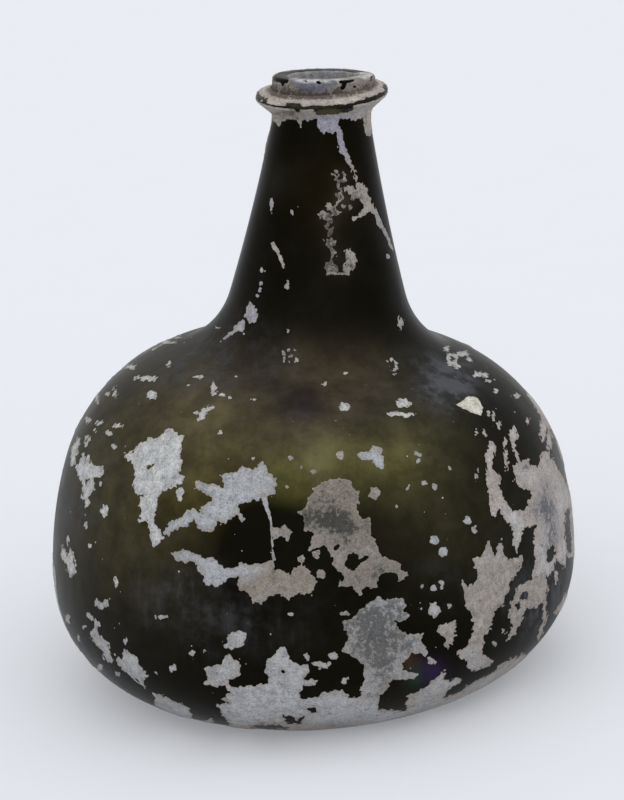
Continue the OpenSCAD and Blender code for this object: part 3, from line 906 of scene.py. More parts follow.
def crust_finish(name, cool, warm, dark):
    """Matt mineral crust: two tones that run into each other, staining and painted shade, and grains and
    pores over all.
    """
    material, start = new_finish(name)
    # This channel also carries painted shade under the string rim.
    stain = start.attribute("stain")
    depth = start.attribute("depth")
    drift = start.grain(0.009, 5, 0.62)
    mottle = start.grain(0.0022, 6, 0.72)
    grains = start.grain(0.00042, 4, 0.65)
    edge = 1 - depth.above(1.0, 7.0)
    tone = start.attribute("warm") + 2.2 * (drift - 0.5) + 1.8 * (mottle - 0.5) + 0.35 * edge
    colour = start.mix(tone.above(-0.1, 1.0), cool, warm)
    spots = start.grain(0.0010, 4, 0.7)
    blotch = stain + stain * (3.2 * (mottle - 0.5) + 3.0 * (spots - 0.5)) + 1.5 * (mottle - 0.60)
    colour = start.mix(0.94 * blotch.above(0.0, 0.9), colour, dark)
    colour = start.mix(start.attribute("pale"), colour, PALEST)
    shade = start.grey(1.0 + 2.2 * (mottle - 0.5) + 1.9 * (grains - 0.5))
    colour = start.mix(1.0, colour, shade, "MULTIPLY")
    pores = start.grain(0.0008, 2, 0.5).above(0.66, 0.74)
    colour = start.mix(0.6 * pores, colour, dark)
    thin = 1 - depth.above(0.0, 2.2)
    colour = start.mix(0.35 * thin, colour, EDGE_BROWN)
    shape = start.bump(mottle, 0.5, 0.0005)
    shape = start.bump(grains, 0.5, 0.0002, shape)
    surface(start, {"Base Color": colour, "Roughness": 0.62 + 0.25 * mottle, "Specular IOR Level": 0.3,
                    "Normal": shape})
    return material


pale_crust = crust_finish("pale_crust", (0.395, 0.40, 0.405, 1),
                          (0.40, 0.375, 0.335, 1), (0.10, 0.095, 0.085, 1))
sheet = body_sheet(LEFT_HEIGHTS, LEFT_AZIMUTHS, CRUST_CELL)
crust_on(sheet, 11, [LEFT_KITE, LEFT_STRIP, LEFT_EDGE, LEFT_LOW], LEFT_OVALS, LEFT_CRACKS)
left_crust = place_piece(sheet, "left_crust_dressed", pale_crust, CRUST_SHARP)
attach(left_crust, "root")
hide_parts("left_crust")

# Crust of the front: the largest flakes in view, silver where they are thick and grey or buff where only a
# thin, stained skin is left. One has been rubbed through, and the black glass shows in its holes. Stains and
# warmth are soft spots: pixel, width, height, amount.
FRONT_HEIGHTS = (-0.020, 0.050)
FRONT_AZIMUTHS = (-48, 50)
FRONT_WING = [
    (194, 480), (199, 480), (205, 485), (212, 482), (220, 485), (223, 489), (224, 479), (220, 476),
    (234, 473), (243, 467), (254, 469), (263, 462), (269, 472), (276, 478), (275, 494), (266, 496),
    (259, 500), (249, 502), (239, 505), (240, 512), (246, 519), (242, 522), (236, 516), (227, 521),
    (221, 524), (217, 521), (214, 530), (205, 532), (197, 529), (194, 520), (187, 527), (179, 528),
    (169, 536), (163, 533), (168, 525), (173, 520), (181, 518), (187, 511), (193, 509), (199, 514),
    (204, 505), (212, 501), (212, 496), (204, 493), (195, 489),
]
FRONT_THREAD = [
    (260, 496), (267, 494), (269, 508), (272, 520), (273.5, 547), (275.5, 560), (273, 560),
    (271.5, 547), (270, 522), (266, 511),
]
FRONT_FRAYED = [((270, 530), 26, 80, -0.8)]
FRONT_TAG = [(272, 527), (280, 528), (285, 525), (292, 532), (288, 541), (281, 536), (273, 540)]
FRONT_BAND = [
    (171, 553), (182, 549), (193, 552), (204, 558), (211, 557), (219, 562), (223, 569), (234, 569),
    (239, 562), (252, 565), (264, 563), (273, 559), (275, 569), (284, 570), (290, 575), (293, 569),
    (302, 563), (307, 569), (317, 582), (312, 594), (296, 595), (289, 598), (277, 594), (268, 598),
    (261, 604), (252, 602), (249, 594), (239, 590), (237, 583), (238, 577), (229, 578), (220, 586),
    (206, 586), (204, 582), (205, 575), (198, 570), (195, 562), (186, 563), (175, 560),
]
FRONT_RUBBED = [
    (317, 485), (326, 482), (339, 477), (352, 482), (354, 489), (359, 492), (357, 507), (360, 517),
    (369, 517), (372, 523), (372, 535), (377, 544), (377, 553), (389, 560), (399, 560), (401, 569),
    (407, 573), (405, 580), (398, 581), (397, 575), (381, 571), (378, 580), (376, 587), (365, 587),
    (360, 594), (355, 592), (352, 586), (336, 587), (344, 578), (342, 575), (333, 564), (330, 551),
    (325, 545), (318, 548), (309, 550), (314, 534), (304, 530), (304, 518), (297, 512), (307, 507),
    (309, 496), (314, 493),
]
FRONT_HOLE = [
    (347, 569), (346, 560), (353, 553), (358, 553), (359, 558), (368, 556), (370, 559), (361, 563),
    (355, 571),
]
FRONT_PORE = [(333, 546), (337, 543), (340, 546), (337, 550)]
FRONT_CLOVER = [
    (357, 455), (367, 452), (373, 447), (381, 448), (384, 458), (384, 467), (379, 470), (371, 461),
    (363, 460),
]
FRONT_OVALS = [
    ((375, 493), 11, 13), ((339.5, 455), 7, 8), ((287, 426), 11, 9), ((418, 454), 6, 4),
    ((418, 461), 4, 4), ((425, 484), 6, 5), ((434, 487), 6, 7), ((408, 488), 3, 5), ((450, 467), 3, 3),
    ((395, 507), 4, 5), ((468, 521), 8, 9), ((474, 530), 5, 12), ((434, 540), 7, 10),
    ((444, 552), 8, 9), ((321, 574), 10, 9), ((288, 487), 4, 4), ((281, 472), 3, 3), ((290, 458), 3, 3),
    ((313, 472), 4, 4), ((441, 583), 5, 6), ((422, 587), 4, 5), ((253, 458), 2, 3), ((301, 467), 2, 2),
    ((477, 475), 4, 8), ((302, 559), 7, 8), ((316, 553), 7, 8), ((278, 532), 8, 7),
]
FRONT_STAINS = [
    ((334, 496), 76, 54, 0.53), ((324, 521), 80, 20, 1.15), ((348, 534), 54, 26, 0.42),
    ((362, 555), 70, 40, 0.36), ((355, 582), 70, 26, 0.30), ((395, 568), 40, 24, 0.40),
    ((290, 582), 70, 40, 0.12), ((225, 575), 60, 30, 0.16),
]
FRONT_WARMTH = [
    ((290, 580), 50, 34, 1.2), ((333, 505), 84, 84, 1.5), ((358, 545), 60, 40, 0.6),
    ((360, 578), 70, 30, 1.1), ((255, 585), 40, 40, 0.9), ((393, 568), 50, 30, 1.0),
    ((282, 533), 24, 20, 0.5),
]
buff_crust = crust_finish("buff_crust", (0.325, 0.335, 0.355, 1),
                          (0.205, 0.178, 0.150, 1), (0.026, 0.027, 0.024, 1))
sheet = body_sheet(FRONT_HEIGHTS, FRONT_AZIMUTHS, CRUST_CELL)
crust_on(sheet, 23, [FRONT_WING, FRONT_THREAD, FRONT_TAG, FRONT_BAND, FRONT_RUBBED, FRONT_CLOVER],
         FRONT_OVALS, [FRONT_HOLE, FRONT_PORE], stains=FRONT_STAINS, warmth=FRONT_WARMTH,
         frayed=FRONT_FRAYED)
front_crust = place_piece(sheet, "front_crust_dressed", buff_crust, CRUST_SHARP)
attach(front_crust, "root")
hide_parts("front_crust")

# Crust of the right side: a broad patch that runs round the side, pinkish beige with blue-grey stains, and
# torn into upright strips where it has lifted. The cream chip above it is a single thick scale.
RIGHT_HEIGHTS = (-0.012, 0.056)
RIGHT_AZIMUTHS = (30, 116)
CHIP_HEIGHTS = (0.030, 0.056)
CHIP_AZIMUTHS = (38, 66)
CHIP_TEAR = 0.35
RIGHT_STRIP = [
    (490, 442), (495, 444), (494, 458), (492, 468), (499, 474), (500, 489), (504, 500), (509, 506),
    (512, 511), (524, 510), (532, 504), (537, 515), (536, 525), (524, 528), (520, 541), (517, 553),
    (513, 545), (514, 537), (511, 526), (504, 518), (499, 509), (495, 516), (491, 516), (488, 496),
    (486, 482), (487, 466), (485, 455),
]
RIGHT_PATCH = [
    (514, 425), (518, 435), (515, 444), (520, 461), (529, 459), (531, 465), (537, 467), (542, 453),
    (549, 451), (551, 459), (555, 466), (559, 471), (565, 482), (576, 498), (580, 526), (581, 560),
    (566, 556), (562, 566), (556, 560), (553, 571), (548, 578), (545, 572), (532, 579), (535, 560),
    (534, 545), (536, 528), (531, 512), (528, 503), (532, 496), (529, 490), (521, 489), (515, 482),
    (513, 468), (517, 462), (512, 445), (508, 434),
]
RIGHT_GAPS = [
    [(565, 512), (569, 508), (571, 530), (571, 552), (567, 556), (564, 535)],
    [(546, 552), (552, 545), (556, 548), (553, 560), (547, 564)],
]
RIGHT_CHIP = [(456, 405), (469, 396), (478, 398), (483, 408), (481, 416), (468, 411)]
RIGHT_TOP = [
    (525, 385), (533, 392), (541, 402), (547, 415), (551, 431), (546, 428), (541, 416), (536, 408),
    (529, 398),
]
RIGHT_OVALS = [
    ((505.5, 458), 5, 20), ((505, 444), 3, 8), ((493, 416), 3, 9), ((488, 413), 3, 4),
    ((517, 396), 6, 5), ((543, 430), 6, 20), ((549, 440), 5, 22), ((528, 421), 4, 6),
    ((499, 424), 3, 6), ((476, 433), 2, 4), ((485, 432), 2, 7), ((563, 562), 5, 10), ((556, 576), 4, 9),
    ((552, 462), 4, 8),
]
RIGHT_FLAKES = [(93, 22, 14, 24, 0), (98, 8, 10, 10, 0)]
RIGHT_STAINS = [
    ((545, 484), 18, 26, 0.6), ((540, 505), 24, 26, 0.75), ((550, 522), 22, 32, 0.75),
    ((548, 542), 18, 22, 0.70), ((522, 468), 20, 12, 0.75), ((530, 565), 24, 20, 0.4),
    ((494, 492), 14, 44, 0.3),
]
RIGHT_WARMTH = [((495, 480), 30, 60, 0.8), ((540, 500), 60, 120, 0.6), ((470, 406), 30, 24, 1.0)]
rosy_crust = crust_finish("rosy_crust", (0.365, 0.350, 0.345, 1),
                          (0.315, 0.272, 0.248, 1), (0.080, 0.085, 0.098, 1))
sheet = body_sheet(RIGHT_HEIGHTS, RIGHT_AZIMUTHS, CRUST_CELL)
crust_on(sheet, 37, [RIGHT_STRIP, RIGHT_PATCH, RIGHT_TOP], RIGHT_OVALS, RIGHT_GAPS, RIGHT_FLAKES,
         RIGHT_STAINS, RIGHT_WARMTH)
right_crust = place_piece(sheet, "right_crust_dressed", rosy_crust, CRUST_SHARP)
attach(right_crust, "root")
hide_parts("right_crust")

cream_crust = crust_finish("cream_crust", (0.54, 0.515, 0.45, 1),
                           (0.56, 0.52, 0.43, 1), (0.37, 0.33, 0.25, 1))
sheet = body_sheet(CHIP_HEIGHTS, CHIP_AZIMUTHS, CRUST_CELL)
crust_on(sheet, 41, [RIGHT_CHIP], tear=CHIP_TEAR)
cream_chip = place_piece(sheet, "cream_chip", cream_crust, CRUST_SHARP)
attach(cream_chip, "root")

# Crust of the shoulder: little is left there, only crumbs and slivers where hands have rubbed the rest away.
# They are densest in three small, stained patches that have been rubbed to a net.
SHOULDER_HEIGHTS = (0.036, 0.078)
SHOULDER_AZIMUTHS = (-110, 270)
COARSE_CELL = CRUST_CELL * 1.15
SHOULDER_OVALS = [
    ((147, 378.5), 19, 5), ((151.5, 395), 10, 8), ((214, 389), 6, 11), ((223, 395), 5, 2),
    ((229, 397), 4, 3), ((200, 377), 6, 2), ((189, 385), 4, 2), ((169, 364), 5, 5), ((130, 367), 12, 4),
    ((115, 393), 3, 7), ((108, 394), 4, 3), ((97, 398), 3, 9), ((217, 328), 3, 2), ((168, 342), 14, 3),
    ((180, 338), 8, 2), ((447, 349), 6, 6), ((452, 359), 12, 12), ((457, 366), 6, 6),
    ((462, 354), 12, 5), ((469, 359), 6, 3), ((478, 374), 9, 4), ((485, 375), 6, 5), ((474, 376), 3, 3),
    ((403, 403), 16, 9), ((401, 414), 22, 4), ((407, 416), 6, 6), ((344, 407), 11, 8),
    ((391, 360), 3, 4), ((395, 363), 3, 3), ((389, 366), 3, 3), ((396, 368), 3, 4), ((391, 371), 3, 3),
    ((395, 374), 3, 2), ((387, 362), 2, 3), ((284, 353), 3, 4), ((288, 350), 3, 3), ((294, 350), 3, 3),
    ((298, 354), 3, 3), ((296, 360), 3, 3), ((289, 362), 3, 3), ((284, 359), 2, 3), ((291, 356), 3, 2),
    ((325, 384), 5, 3), ((489, 381), 6, 3), ((496, 391), 4, 4), ((345, 373), 3, 2), ((236, 376), 2, 2),
    ((252, 400), 3, 2),
]
SHOULDER_STREAK = [
    (191, 412), (199, 412), (204, 408), (214, 405), (215, 408), (208, 413), (203, 421), (198, 422),
    (198, 415),
]
SHOULDER_HOLE = [(450, 357), (454, 356), (455, 360), (451, 361)]
SHOULDER_STAINS = [((391, 367), 22, 26, 0.7), ((291, 356), 28, 24, 1.3), ((451, 358), 16, 18, 0.35)]
SHOULDER_FLAKES = [(140, 52, 9.5, 6.5, 0), (224, 50, 7, 5, 0), (250, 62, 6, 3, 0), (118, 60, 5, 4, 0)]
sheet = body_sheet(SHOULDER_HEIGHTS, SHOULDER_AZIMUTHS, COARSE_CELL)
crust_on(sheet, 53, [SHOULDER_STREAK], SHOULDER_OVALS, [SHOULDER_HOLE], SHOULDER_FLAKES, SHOULDER_STAINS)
shoulder_crust = place_piece(sheet, "shoulder_crust_dressed", pale_crust, CRUST_SHARP)
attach(shoulder_crust, "root")
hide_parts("shoulder_crust")

# Crust of the back: the side that the photograph does not show, flaked in the same way as the front.
# Each flake is given by its azimuth, slope, width, height and turn, in degrees.
BACK_HEIGHTS = (-0.006, 0.056)
BACK_AZIMUTHS = (98, 276)
BACK_FLAKES = [
    (116, 26, 24, 19, 12), (148, 16, 20.5, 9.5, -15), (174, 32, 22, 16, 20), (207, 18, 25, 12.5, 5),
    (238, 30, 19, 17.5, -20), (262, 17, 14, 8.5, 10), (196, 56, 8, 5, 0), (190, 40, 3, 3, 0),
    (222, 40, 4, 2.5, 20), (160, 24, 3, 4, 0), (128, 38, 4, 3, 0), (252, 44, 3, 4, 0),
    (186, 20, 3, 2, 0), (134, 10, 5, 3, 0),
]
sheet = body_sheet(BACK_HEIGHTS, BACK_AZIMUTHS, COARSE_CELL)
crust_on(sheet, 61, flakes=BACK_FLAKES)
back_crust = place_piece(sheet, "back_crust_dressed", buff_crust, CRUST_SHARP)
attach(back_crust, "root")
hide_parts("back_crust")

# Crust of the heel: the most that is left, round the widest ring and down to the foot, where the bottle lay
# in the soil. It is silver at the front, rosy at the right and darker where it meets the table.
HEEL_HEIGHTS = (-0.0312, 0.030)
ALL_ROUND = (-180, 180)
HEEL_CELL = CRUST_CELL * 1.1
HEEL_FRONT = [
    (216, 705), (228, 702), (226, 697), (229, 692), (226, 685), (236, 688), (246, 686), (257, 685),
    (268, 683), (269, 677), (265, 672), (267, 661), (273, 658), (278, 647), (284, 646), (290, 658),
    (295, 664), (308, 665), (309, 670), (305, 679), (317, 680), (314, 685), (303, 686), (299, 694),
    (302, 699), (312, 698), (325, 693), (341, 690), (350, 697), (361, 697), (361, 686), (365, 676),
    (363, 663), (352, 656), (342, 651), (348, 640), (345, 629), (341, 621), (352, 619), (359, 610),
    (367, 604), (379, 597), (386, 600), (397, 597), (404, 599), (405, 611), (410, 615), (405, 620),
    (395, 621), (399, 629), (407, 635), (424, 633), (419, 642), (427, 647), (427, 654), (423, 657),
    (419, 652), (410, 654), (404, 663), (403, 670), (418, 675), (414, 678), (400, 679), (389, 681),
    (387, 691), (380, 694), (379, 710), (406, 711), (407, 695), (418, 692), (425, 688), (436, 676),
    (446, 671), (443, 681), (459, 677), (461, 681), (448, 690), (443, 697), (457, 694), (473, 683),
    (493, 672), (502, 663), (524, 654), (540, 660), (500, 700), (440, 724), (380, 738), (300, 748),
    (230, 742), (222, 728), (230, 724), (222, 714),
]
HEEL_GAPS = [
    [(252, 727), (262, 724), (280, 725), (289, 727), (284, 730), (258, 730)],
    [(282, 716), (290, 715), (296, 719), (304, 716), (301, 723), (290, 724), (284, 720)],
    [(308, 709), (314, 706), (318, 711), (312, 713)],
    [(281, 671), (287, 669), (286, 672), (282, 673)],
    [(520, 595), (525, 590), (529, 593), (526, 599), (521, 599)],
    [(515, 604), (520, 602), (521, 609), (516, 611)],
]
HEEL_MAPLE = [
    (473, 560), (480, 556), (488, 541), (495, 554), (501, 540), (505, 552), (509, 560), (523, 555),
    (521, 565), (509, 586), (502, 606), (494, 611), (493, 624), (484, 636), (483, 654), (493, 661),
    (489, 665), (473, 671), (467, 669), (469, 660), (459, 658), (458, 652), (468, 645), (471, 636),
    (474, 624), (470, 611), (466, 608), (464, 594), (462, 580), (468, 587), (476, 581), (477, 572),
]
HEEL_LOOP = [
    (518, 586), (532, 579), (545, 572), (548, 590), (543, 602), (537, 608), (527, 608), (521, 619),
    (516, 633), (508, 641), (512, 627), (510, 617), (508, 611), (512, 601),
]
HEEL_EDGE_RIGHT = [(565, 592), (569, 596), (563, 608), (556, 615), (553, 613), (559, 606)]
HEEL_THREAD = [
    (543, 576), (546, 578), (546, 600), (547, 616), (543, 632), (539, 640), (537, 637), (543, 618),
]
HEEL_STRIP_LEFT = [
    (86, 616), (88, 612), (95, 619), (100, 622), (99, 635), (109, 642), (110, 652), (113, 660),
    (112, 663), (106, 660), (102, 651), (93, 641), (90, 633), (95, 629), (93, 622),
]
HEEL_LEAF_LEFT = [
    (115, 655), (122, 659), (124, 648), (132, 654), (138, 658), (139, 665), (148, 675), (143, 680),
    (146, 688), (136, 680), (125, 672), (117, 665),
]
HEEL_FOOT_LEFT = [
    (153, 693), (166, 697), (183, 704), (189, 708), (192, 717), (186, 722), (168, 714), (156, 706),
]
HEEL_COMB = [
    (204, 668), (220, 665), (227, 654), (239, 661), (241, 674), (229, 681), (218, 687), (202, 685),
    (203, 681), (208, 677),
]
HEEL_VEE = [(94, 598), (98, 598), (102, 603), (105, 599), (110, 598), (108, 605), (101, 610), (96, 605)]
HEEL_TUFT = [(229, 632), (244, 631), (246, 642), (239, 648), (222, 648), (227, 642)]
HEEL_FOLD = [
    (438, 626), (447, 622), (456, 621), (454, 640), (448, 650), (445, 647), (446, 638), (438, 634),
]
HEEL_DAB = [(427, 611), (430, 603), (436, 604), (441, 612), (436, 617), (429, 616)]
HEEL_BRIDGE = [(316, 668), (326, 664), (331, 657), (330, 667), (322, 669), (316, 671)]
HEEL_OVALS = [
    ((116, 582), 4, 6), ((161, 617), 9, 4), ((192, 654), 6, 7), ((173, 668), 7, 7), ((155, 672), 4, 2),
    ((291, 614), 6, 5), ((208, 721), 9, 4), ((125, 641), 3, 7), ((68, 619), 5, 8), ((79, 637), 3, 6),
    ((84, 627), 3, 3), ((100, 667), 5, 7), ((202, 650), 6, 2), ((225, 699), 6, 3), ((421, 606), 4, 6),
    ((431, 661), 7, 6), ((450, 605), 4, 4), ((433, 588), 4, 5), ((345, 681), 4, 6), ((495, 644), 3, 4),
    ((118, 674), 4, 3), ((345.5, 613.5), 7, 4), ((322, 665), 13, 7), ((333, 656), 9, 7),
    ((307, 657), 5, 8), ((503, 631), 3, 4),
]
HEEL_FLAKES = [
    (100, -14, 17.5, 20.5, 0), (142, -26, 20.5, 16, 10), (186, -8, 16, 19, 0), (232, -27, 22, 12.5, 0),
    (278, -16, 14, 16, 0), (122, -40, 14, 8, 0), (165, -48, 16, 7, 0), (205, -50, 14, 6, 0),
    (160, -4, 4, 5, 0), (214, -12, 5, 6, 0), (250, -8, 5, 7, 10), (262, -44, 12, 6, 0),
    (118, -2, 4, 4, 0), (96, -44, 16, 7, 0),
]
HEEL_STAINS = [
    ((366, 630), 72, 52, 0.95), ((388, 610), 56, 30, 0.55), ((380, 650), 64, 30, 0.56),
    ((384, 663), 22, 7, 0.85), ((385, 682), 54, 34, 0.60), ((370, 695), 24, 6, 0.50),
    ((350, 716), 74, 18, 0.38), ((325, 724), 80, 10, 0.30), ((478, 655), 24, 30, 0.20),
    ((372, 632), 22, 30, 0.35), ((233, 670), 14, 6, 0.50), ((234, 641), 16, 10, 0.50),
    ((512, 598), 20, 30, 0.25), ((536, 592), 24, 30, 0.15), ((410, 645), 40, 30, 0.40),
]
HEEL_WARMTH = [
    ((488, 610), 70, 150, 1.1), ((530, 600), 50, 80, 1.0), ((372, 640), 60, 60, 0.8),
    ((300, 728), 160, 14, 0.9), ((430, 700), 120, 40, 0.35), ((447, 636), 24, 40, 0.7),
    ((385, 648), 50, 30, 0.4),
]
heel_finish = crust_finish("heel_crust", (0.325, 0.328, 0.338, 1),
                           (0.262, 0.232, 0.210, 1), (0.066, 0.069, 0.068, 1))
sheet = body_sheet(HEEL_HEIGHTS, ALL_ROUND, HEEL_CELL)
heel_outlines = [
    HEEL_FRONT, HEEL_MAPLE, HEEL_LOOP, HEEL_EDGE_RIGHT, HEEL_THREAD, HEEL_STRIP_LEFT, HEEL_LEAF_LEFT,
    HEEL_FOOT_LEFT, HEEL_COMB, HEEL_VEE, HEEL_TUFT, HEEL_FOLD, HEEL_DAB, HEEL_BRIDGE,
]
crust_on(sheet, 71, heel_outlines, HEEL_OVALS, HEEL_GAPS, HEEL_FLAKES, HEEL_STAINS, HEEL_WARMTH)
heel_crust = place_piece(sheet, "heel_crust_dressed", heel_finish, CRUST_SHARP)
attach(heel_crust, "root")
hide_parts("heel_crust")

# Crust of the neck: drips and a long crooked streak down the front from under the string rim, and a thin,
# torn net beside it. It is greyer than on the body.
NECK_HEIGHTS = (0.062, 0.1285)
NECK_TEAR = 0.8
NECK_RAGGED = 0.006
NECK_COLLAR = [
    (268, 106), (300, 113), (318, 114), (335, 114), (352, 112), (374, 106), (373, 122), (371, 136),
    (366, 137), (364, 126), (362, 118), (356, 120), (346, 119), (340, 118), (334, 134), (327, 132),
    (323, 135), (319, 130), (317, 119), (303, 121), (301, 127), (297, 120), (290, 119), (283, 121),
    (279, 127), (275, 122), (271, 120),
]
NECK_STREAK = [
    (331, 118), (338, 118), (340, 129), (344, 140), (347, 152), (352, 164), (357, 174), (357, 182),
    (363, 184), (368, 191), (371, 200), (376, 210), (382, 224), (389, 238), (394, 251), (389, 247),
    (385, 236), (378, 226), (375, 215), (368, 212), (360, 218), (353, 222), (352, 219), (360, 212),
    (366, 207), (362, 203), (358, 198), (352, 200), (346, 192), (344, 186), (352, 188), (356, 190),
    (355, 180), (350, 167), (344, 157), (340, 152), (337, 147), (338, 140), (334, 130),
]
NECK_NET = [
    (337, 169), (339, 172), (344, 170), (345, 178), (347, 182), (343, 184), (346, 188), (352, 190),
    (359, 192), (360, 195), (354, 198), (348, 193), (343, 190), (341, 196), (340, 203), (337, 208),
    (336, 214), (331, 216), (330, 222), (331, 232), (329, 236), (332, 241), (331, 247), (333, 255),
    (332, 263), (337, 268), (341, 269), (346, 265), (344, 258), (344, 251), (350, 249), (355, 254),
    (356, 260), (353, 268), (347, 275), (341, 272), (336, 274), (328, 276), (325, 271), (326, 265),
    (330, 262), (330, 248), (325, 246), (325, 240), (328, 236), (328, 226), (326, 220), (321, 219),
    (320, 214), (325, 212), (330, 208), (335, 207), (338, 198), (338, 190), (336, 187), (340, 184),
    (335, 180), (334, 175), (338, 176),
]
NECK_SLIVER = [
    (271, 242), (274, 240), (276, 245), (280, 253), (284, 264), (283, 268), (280, 262), (276, 252),
    (272, 248),
]
NECK_LEAF = [(247, 305), (250, 301), (256, 309), (257, 322), (249, 323), (245, 316)]
NECK_LEAF_TAIL = [
    (238, 322), (243, 320), (246, 322), (243, 335), (239, 330), (230, 336), (217, 345), (224, 337),
    (235, 327),
]
NECK_OVALS = [
    ((262, 270), 5, 6), ((261, 284), 4, 5), ((260, 289), 3, 5), ((287, 285), 3, 7), ((292, 212), 2, 5),
    ((271.5, 205), 2, 8), ((400.5, 324), 5, 12), ((388, 257), 3, 4), ((258, 296), 3, 4),
    ((311, 225), 2, 2), ((298, 207), 2, 2), ((288, 331), 2, 3), ((335, 171), 4, 5), ((340, 180), 8, 5),
    ((349, 189), 7, 6), ((344, 193), 6, 5), ((329, 209), 6, 8), ((323, 215), 6, 6), ((334, 212), 7, 6),
    ((327, 226), 4, 7), ((331, 230), 3, 5), ((327, 242), 6, 7), ((333, 251), 3, 8), ((328, 268), 8, 8),
    ((337, 271), 9, 6), ((349, 256), 9, 12), ((351, 266), 8, 10), ((346, 272), 8, 5),
    ((343, 205), 4, 4), ((350, 206), 3, 3),
]
# The four thin spots at the end are a painted shadow line where the neck meets the underside of the string
# rim.
NECK_STAINS_AND_RIM_SHADOW = [
    ((344, 150), 34, 70, 0.30), ((366, 196), 34, 44, 0.35), ((386, 236), 36, 50, 0.25),
    ((326, 127), 34, 24, 0.30), ((338, 182), 28, 40, 0.75), ((330, 216), 32, 34, 0.75),
    ((329, 246), 24, 54, 0.95), ((340, 268), 46, 32, 0.70), ((350, 202), 24, 20, 0.50),
    ((280, 118), 26, 3, 0.7), ((302, 119), 26, 3, 0.7), ((326, 117.5), 30, 3, 0.5),
    ((350, 113), 26, 3, 0.6),
]
NECK_BARE = [
    [(338, 172), (343, 173), (343, 178), (339, 178)],
    [(344, 196), (350, 195), (351, 203), (346, 206)],
    [(339, 184), (343, 184), (342, 191), (339, 190)],
    [(329, 212), (334, 212), (332, 217)],
]
NECK_WARMTH = [
    ((340, 220), 44, 120, 1.4), ((285, 118), 44, 24, 1.3), ((368, 122), 24, 40, 1.3),
    ((366, 205), 26, 40, 0.7), ((276, 255), 30, 60, 0.8), ((341, 150), 22, 70, -1.0),
    ((327, 125), 30, 30, -0.6),
]
NECK_FRAYED = [((338, 180), 34, 40, 0.9), ((329, 222), 40, 60, 0.9), ((336, 260), 50, 44, 0.7)]
NECK_FLAKES = [
    (0.46, 150, 31, 97, 6), (0.69, 215, 35, 62, 0), (0.2, 250, 20, 30, 0), (0.05, 180, 60, 14, 0),
]


def inside_neck_flake(from_middle, flake):
    """How many pixels each point lies inside a flake of the back of the neck: share of the flare above it,
    azimuth, width, height and turn, with the sizes in degrees of the neck."""
    share, azimuth, width, height, turn = flake
    flare_h = FLARE_R * (math.sin(math.radians(180 + NECK_SLOPE)) - math.sin(math.radians(flare_a)))
    rise = neck_top[1] - share * flare_h
    around = np.degrees(np.arctan2(from_middle[:, 0], -from_middle[:, 1])) - azimuth
    around = (around + 180) % 360 - 180
    return inside_turned(np.radians(around) * NECK_R, from_middle[:, 2] - rise, NECK_R, width, height, turn)


sheet = body_sheet(NECK_HEIGHTS, ALL_ROUND, CRUST_CELL)
crust_on(sheet, 83, [NECK_COLLAR, NECK_STREAK, NECK_NET, NECK_SLIVER, NECK_LEAF, NECK_LEAF_TAIL], NECK_OVALS,
         NECK_BARE, NECK_FLAKES, NECK_STAINS_AND_RIM_SHADOW, NECK_WARMTH, NECK_TEAR, NECK_FRAYED, inside_neck_flake,
         NECK_RAGGED)
neck_finish = crust_finish("neck_crust", (0.29, 0.28, 0.325, 1),
                           (0.30, 0.27, 0.235, 1), (0.032, 0.027, 0.020, 1))
neck_crust = place_piece(sheet, "neck_crust_dressed", neck_finish, CRUST_SHARP)
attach(neck_crust, "root")
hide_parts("neck_crust")

# Crust of the lip: it wraps the plain lip from the string rim up, over the edge and a little way into the
# mouth. It darkens down towards the groove above the rim, and bites out of the crust show the dark glass.
# Along the top edge it is pale, partly pale crust and partly a painted highlight. The top of the lip is bare
# but for a stretch between two azimuths.
LIP_BITES = [
    [(271, 74), (281, 77), (289, 79), (289, 83), (285, 84), (283, 87), (280, 83), (273, 81)],
    [(303, 80), (306, 79), (307, 82), (304, 82)],
    [(315, 80), (319, 80), (321, 84), (317, 84)],
    [(337, 82), (344, 79), (355, 79), (354, 82), (347, 84), (343, 90), (340, 88), (342, 84)],
    [(370, 76), (374, 75), (372, 82), (370, 82)],
    [(353, 86), (356, 86), (356, 88), (353, 87)],
]
MOUTH_BITES = [
    [(299, 69), (303, 69), (303, 71), (300, 72)],
    [(347, 69), (353, 69), (352, 72), (349, 73)],
]
LIP_RING = (-52, 112)
LIP_LILAC = [
    ((299, 82), 22, 8, -1.5), ((314, 86), 26, 14, -1.6), ((332, 81), 20, 8, -0.8),
    ((307, 90), 10, 8, -0.6),
]
LIP_BACK_BITES = [(120, 30, 17), (205, 22, 13), (160, 8, 8), (250, 12, 10)]
LIP_FOOT = 0.0052
LIP_INSIDE = 0.0085
LIP_INSIDE_FRAY = 5
LIP_BITE_PIXELS = 5
LIP_WHOLE = 6.0
LIP_GROOVE_FROM = 0.0010
LIP_GROOVE_OVER = 0.0028
LIP_PALE_EDGE = 0.0005
LIP_CELL = 0.00034
lip_round = LIP_ROUND + SHEET_GROW
mouth_round = MOUTH_ROUND + SHEET_GROW
lining_r = bore_r - SHEET_GROW
lip_line = np.concatenate([
    line_points([LIP_R + SHEET_GROW, mouth_z - LIP_FOOT], lip_c + polar(lip_round, 0), LIP_CELL),
    arc_points(lip_c, lip_round, 0, 90, LIP_CELL),
    line_points(lip_c + polar(lip_round, 90), mouth_c + polar(mouth_round, 90), LIP_CELL),
    arc_points(mouth_c, mouth_round, 90, 180, LIP_CELL),
    line_points([lining_r, mouth_c[1]], [lining_r, mouth_z - LIP_INSIDE], LIP_CELL),
])


def worn_to(depth, where, left):
    """Takes crust away, in some places, down to the depth that is left there."""
    return np.where(where, np.minimum(depth, left), depth)


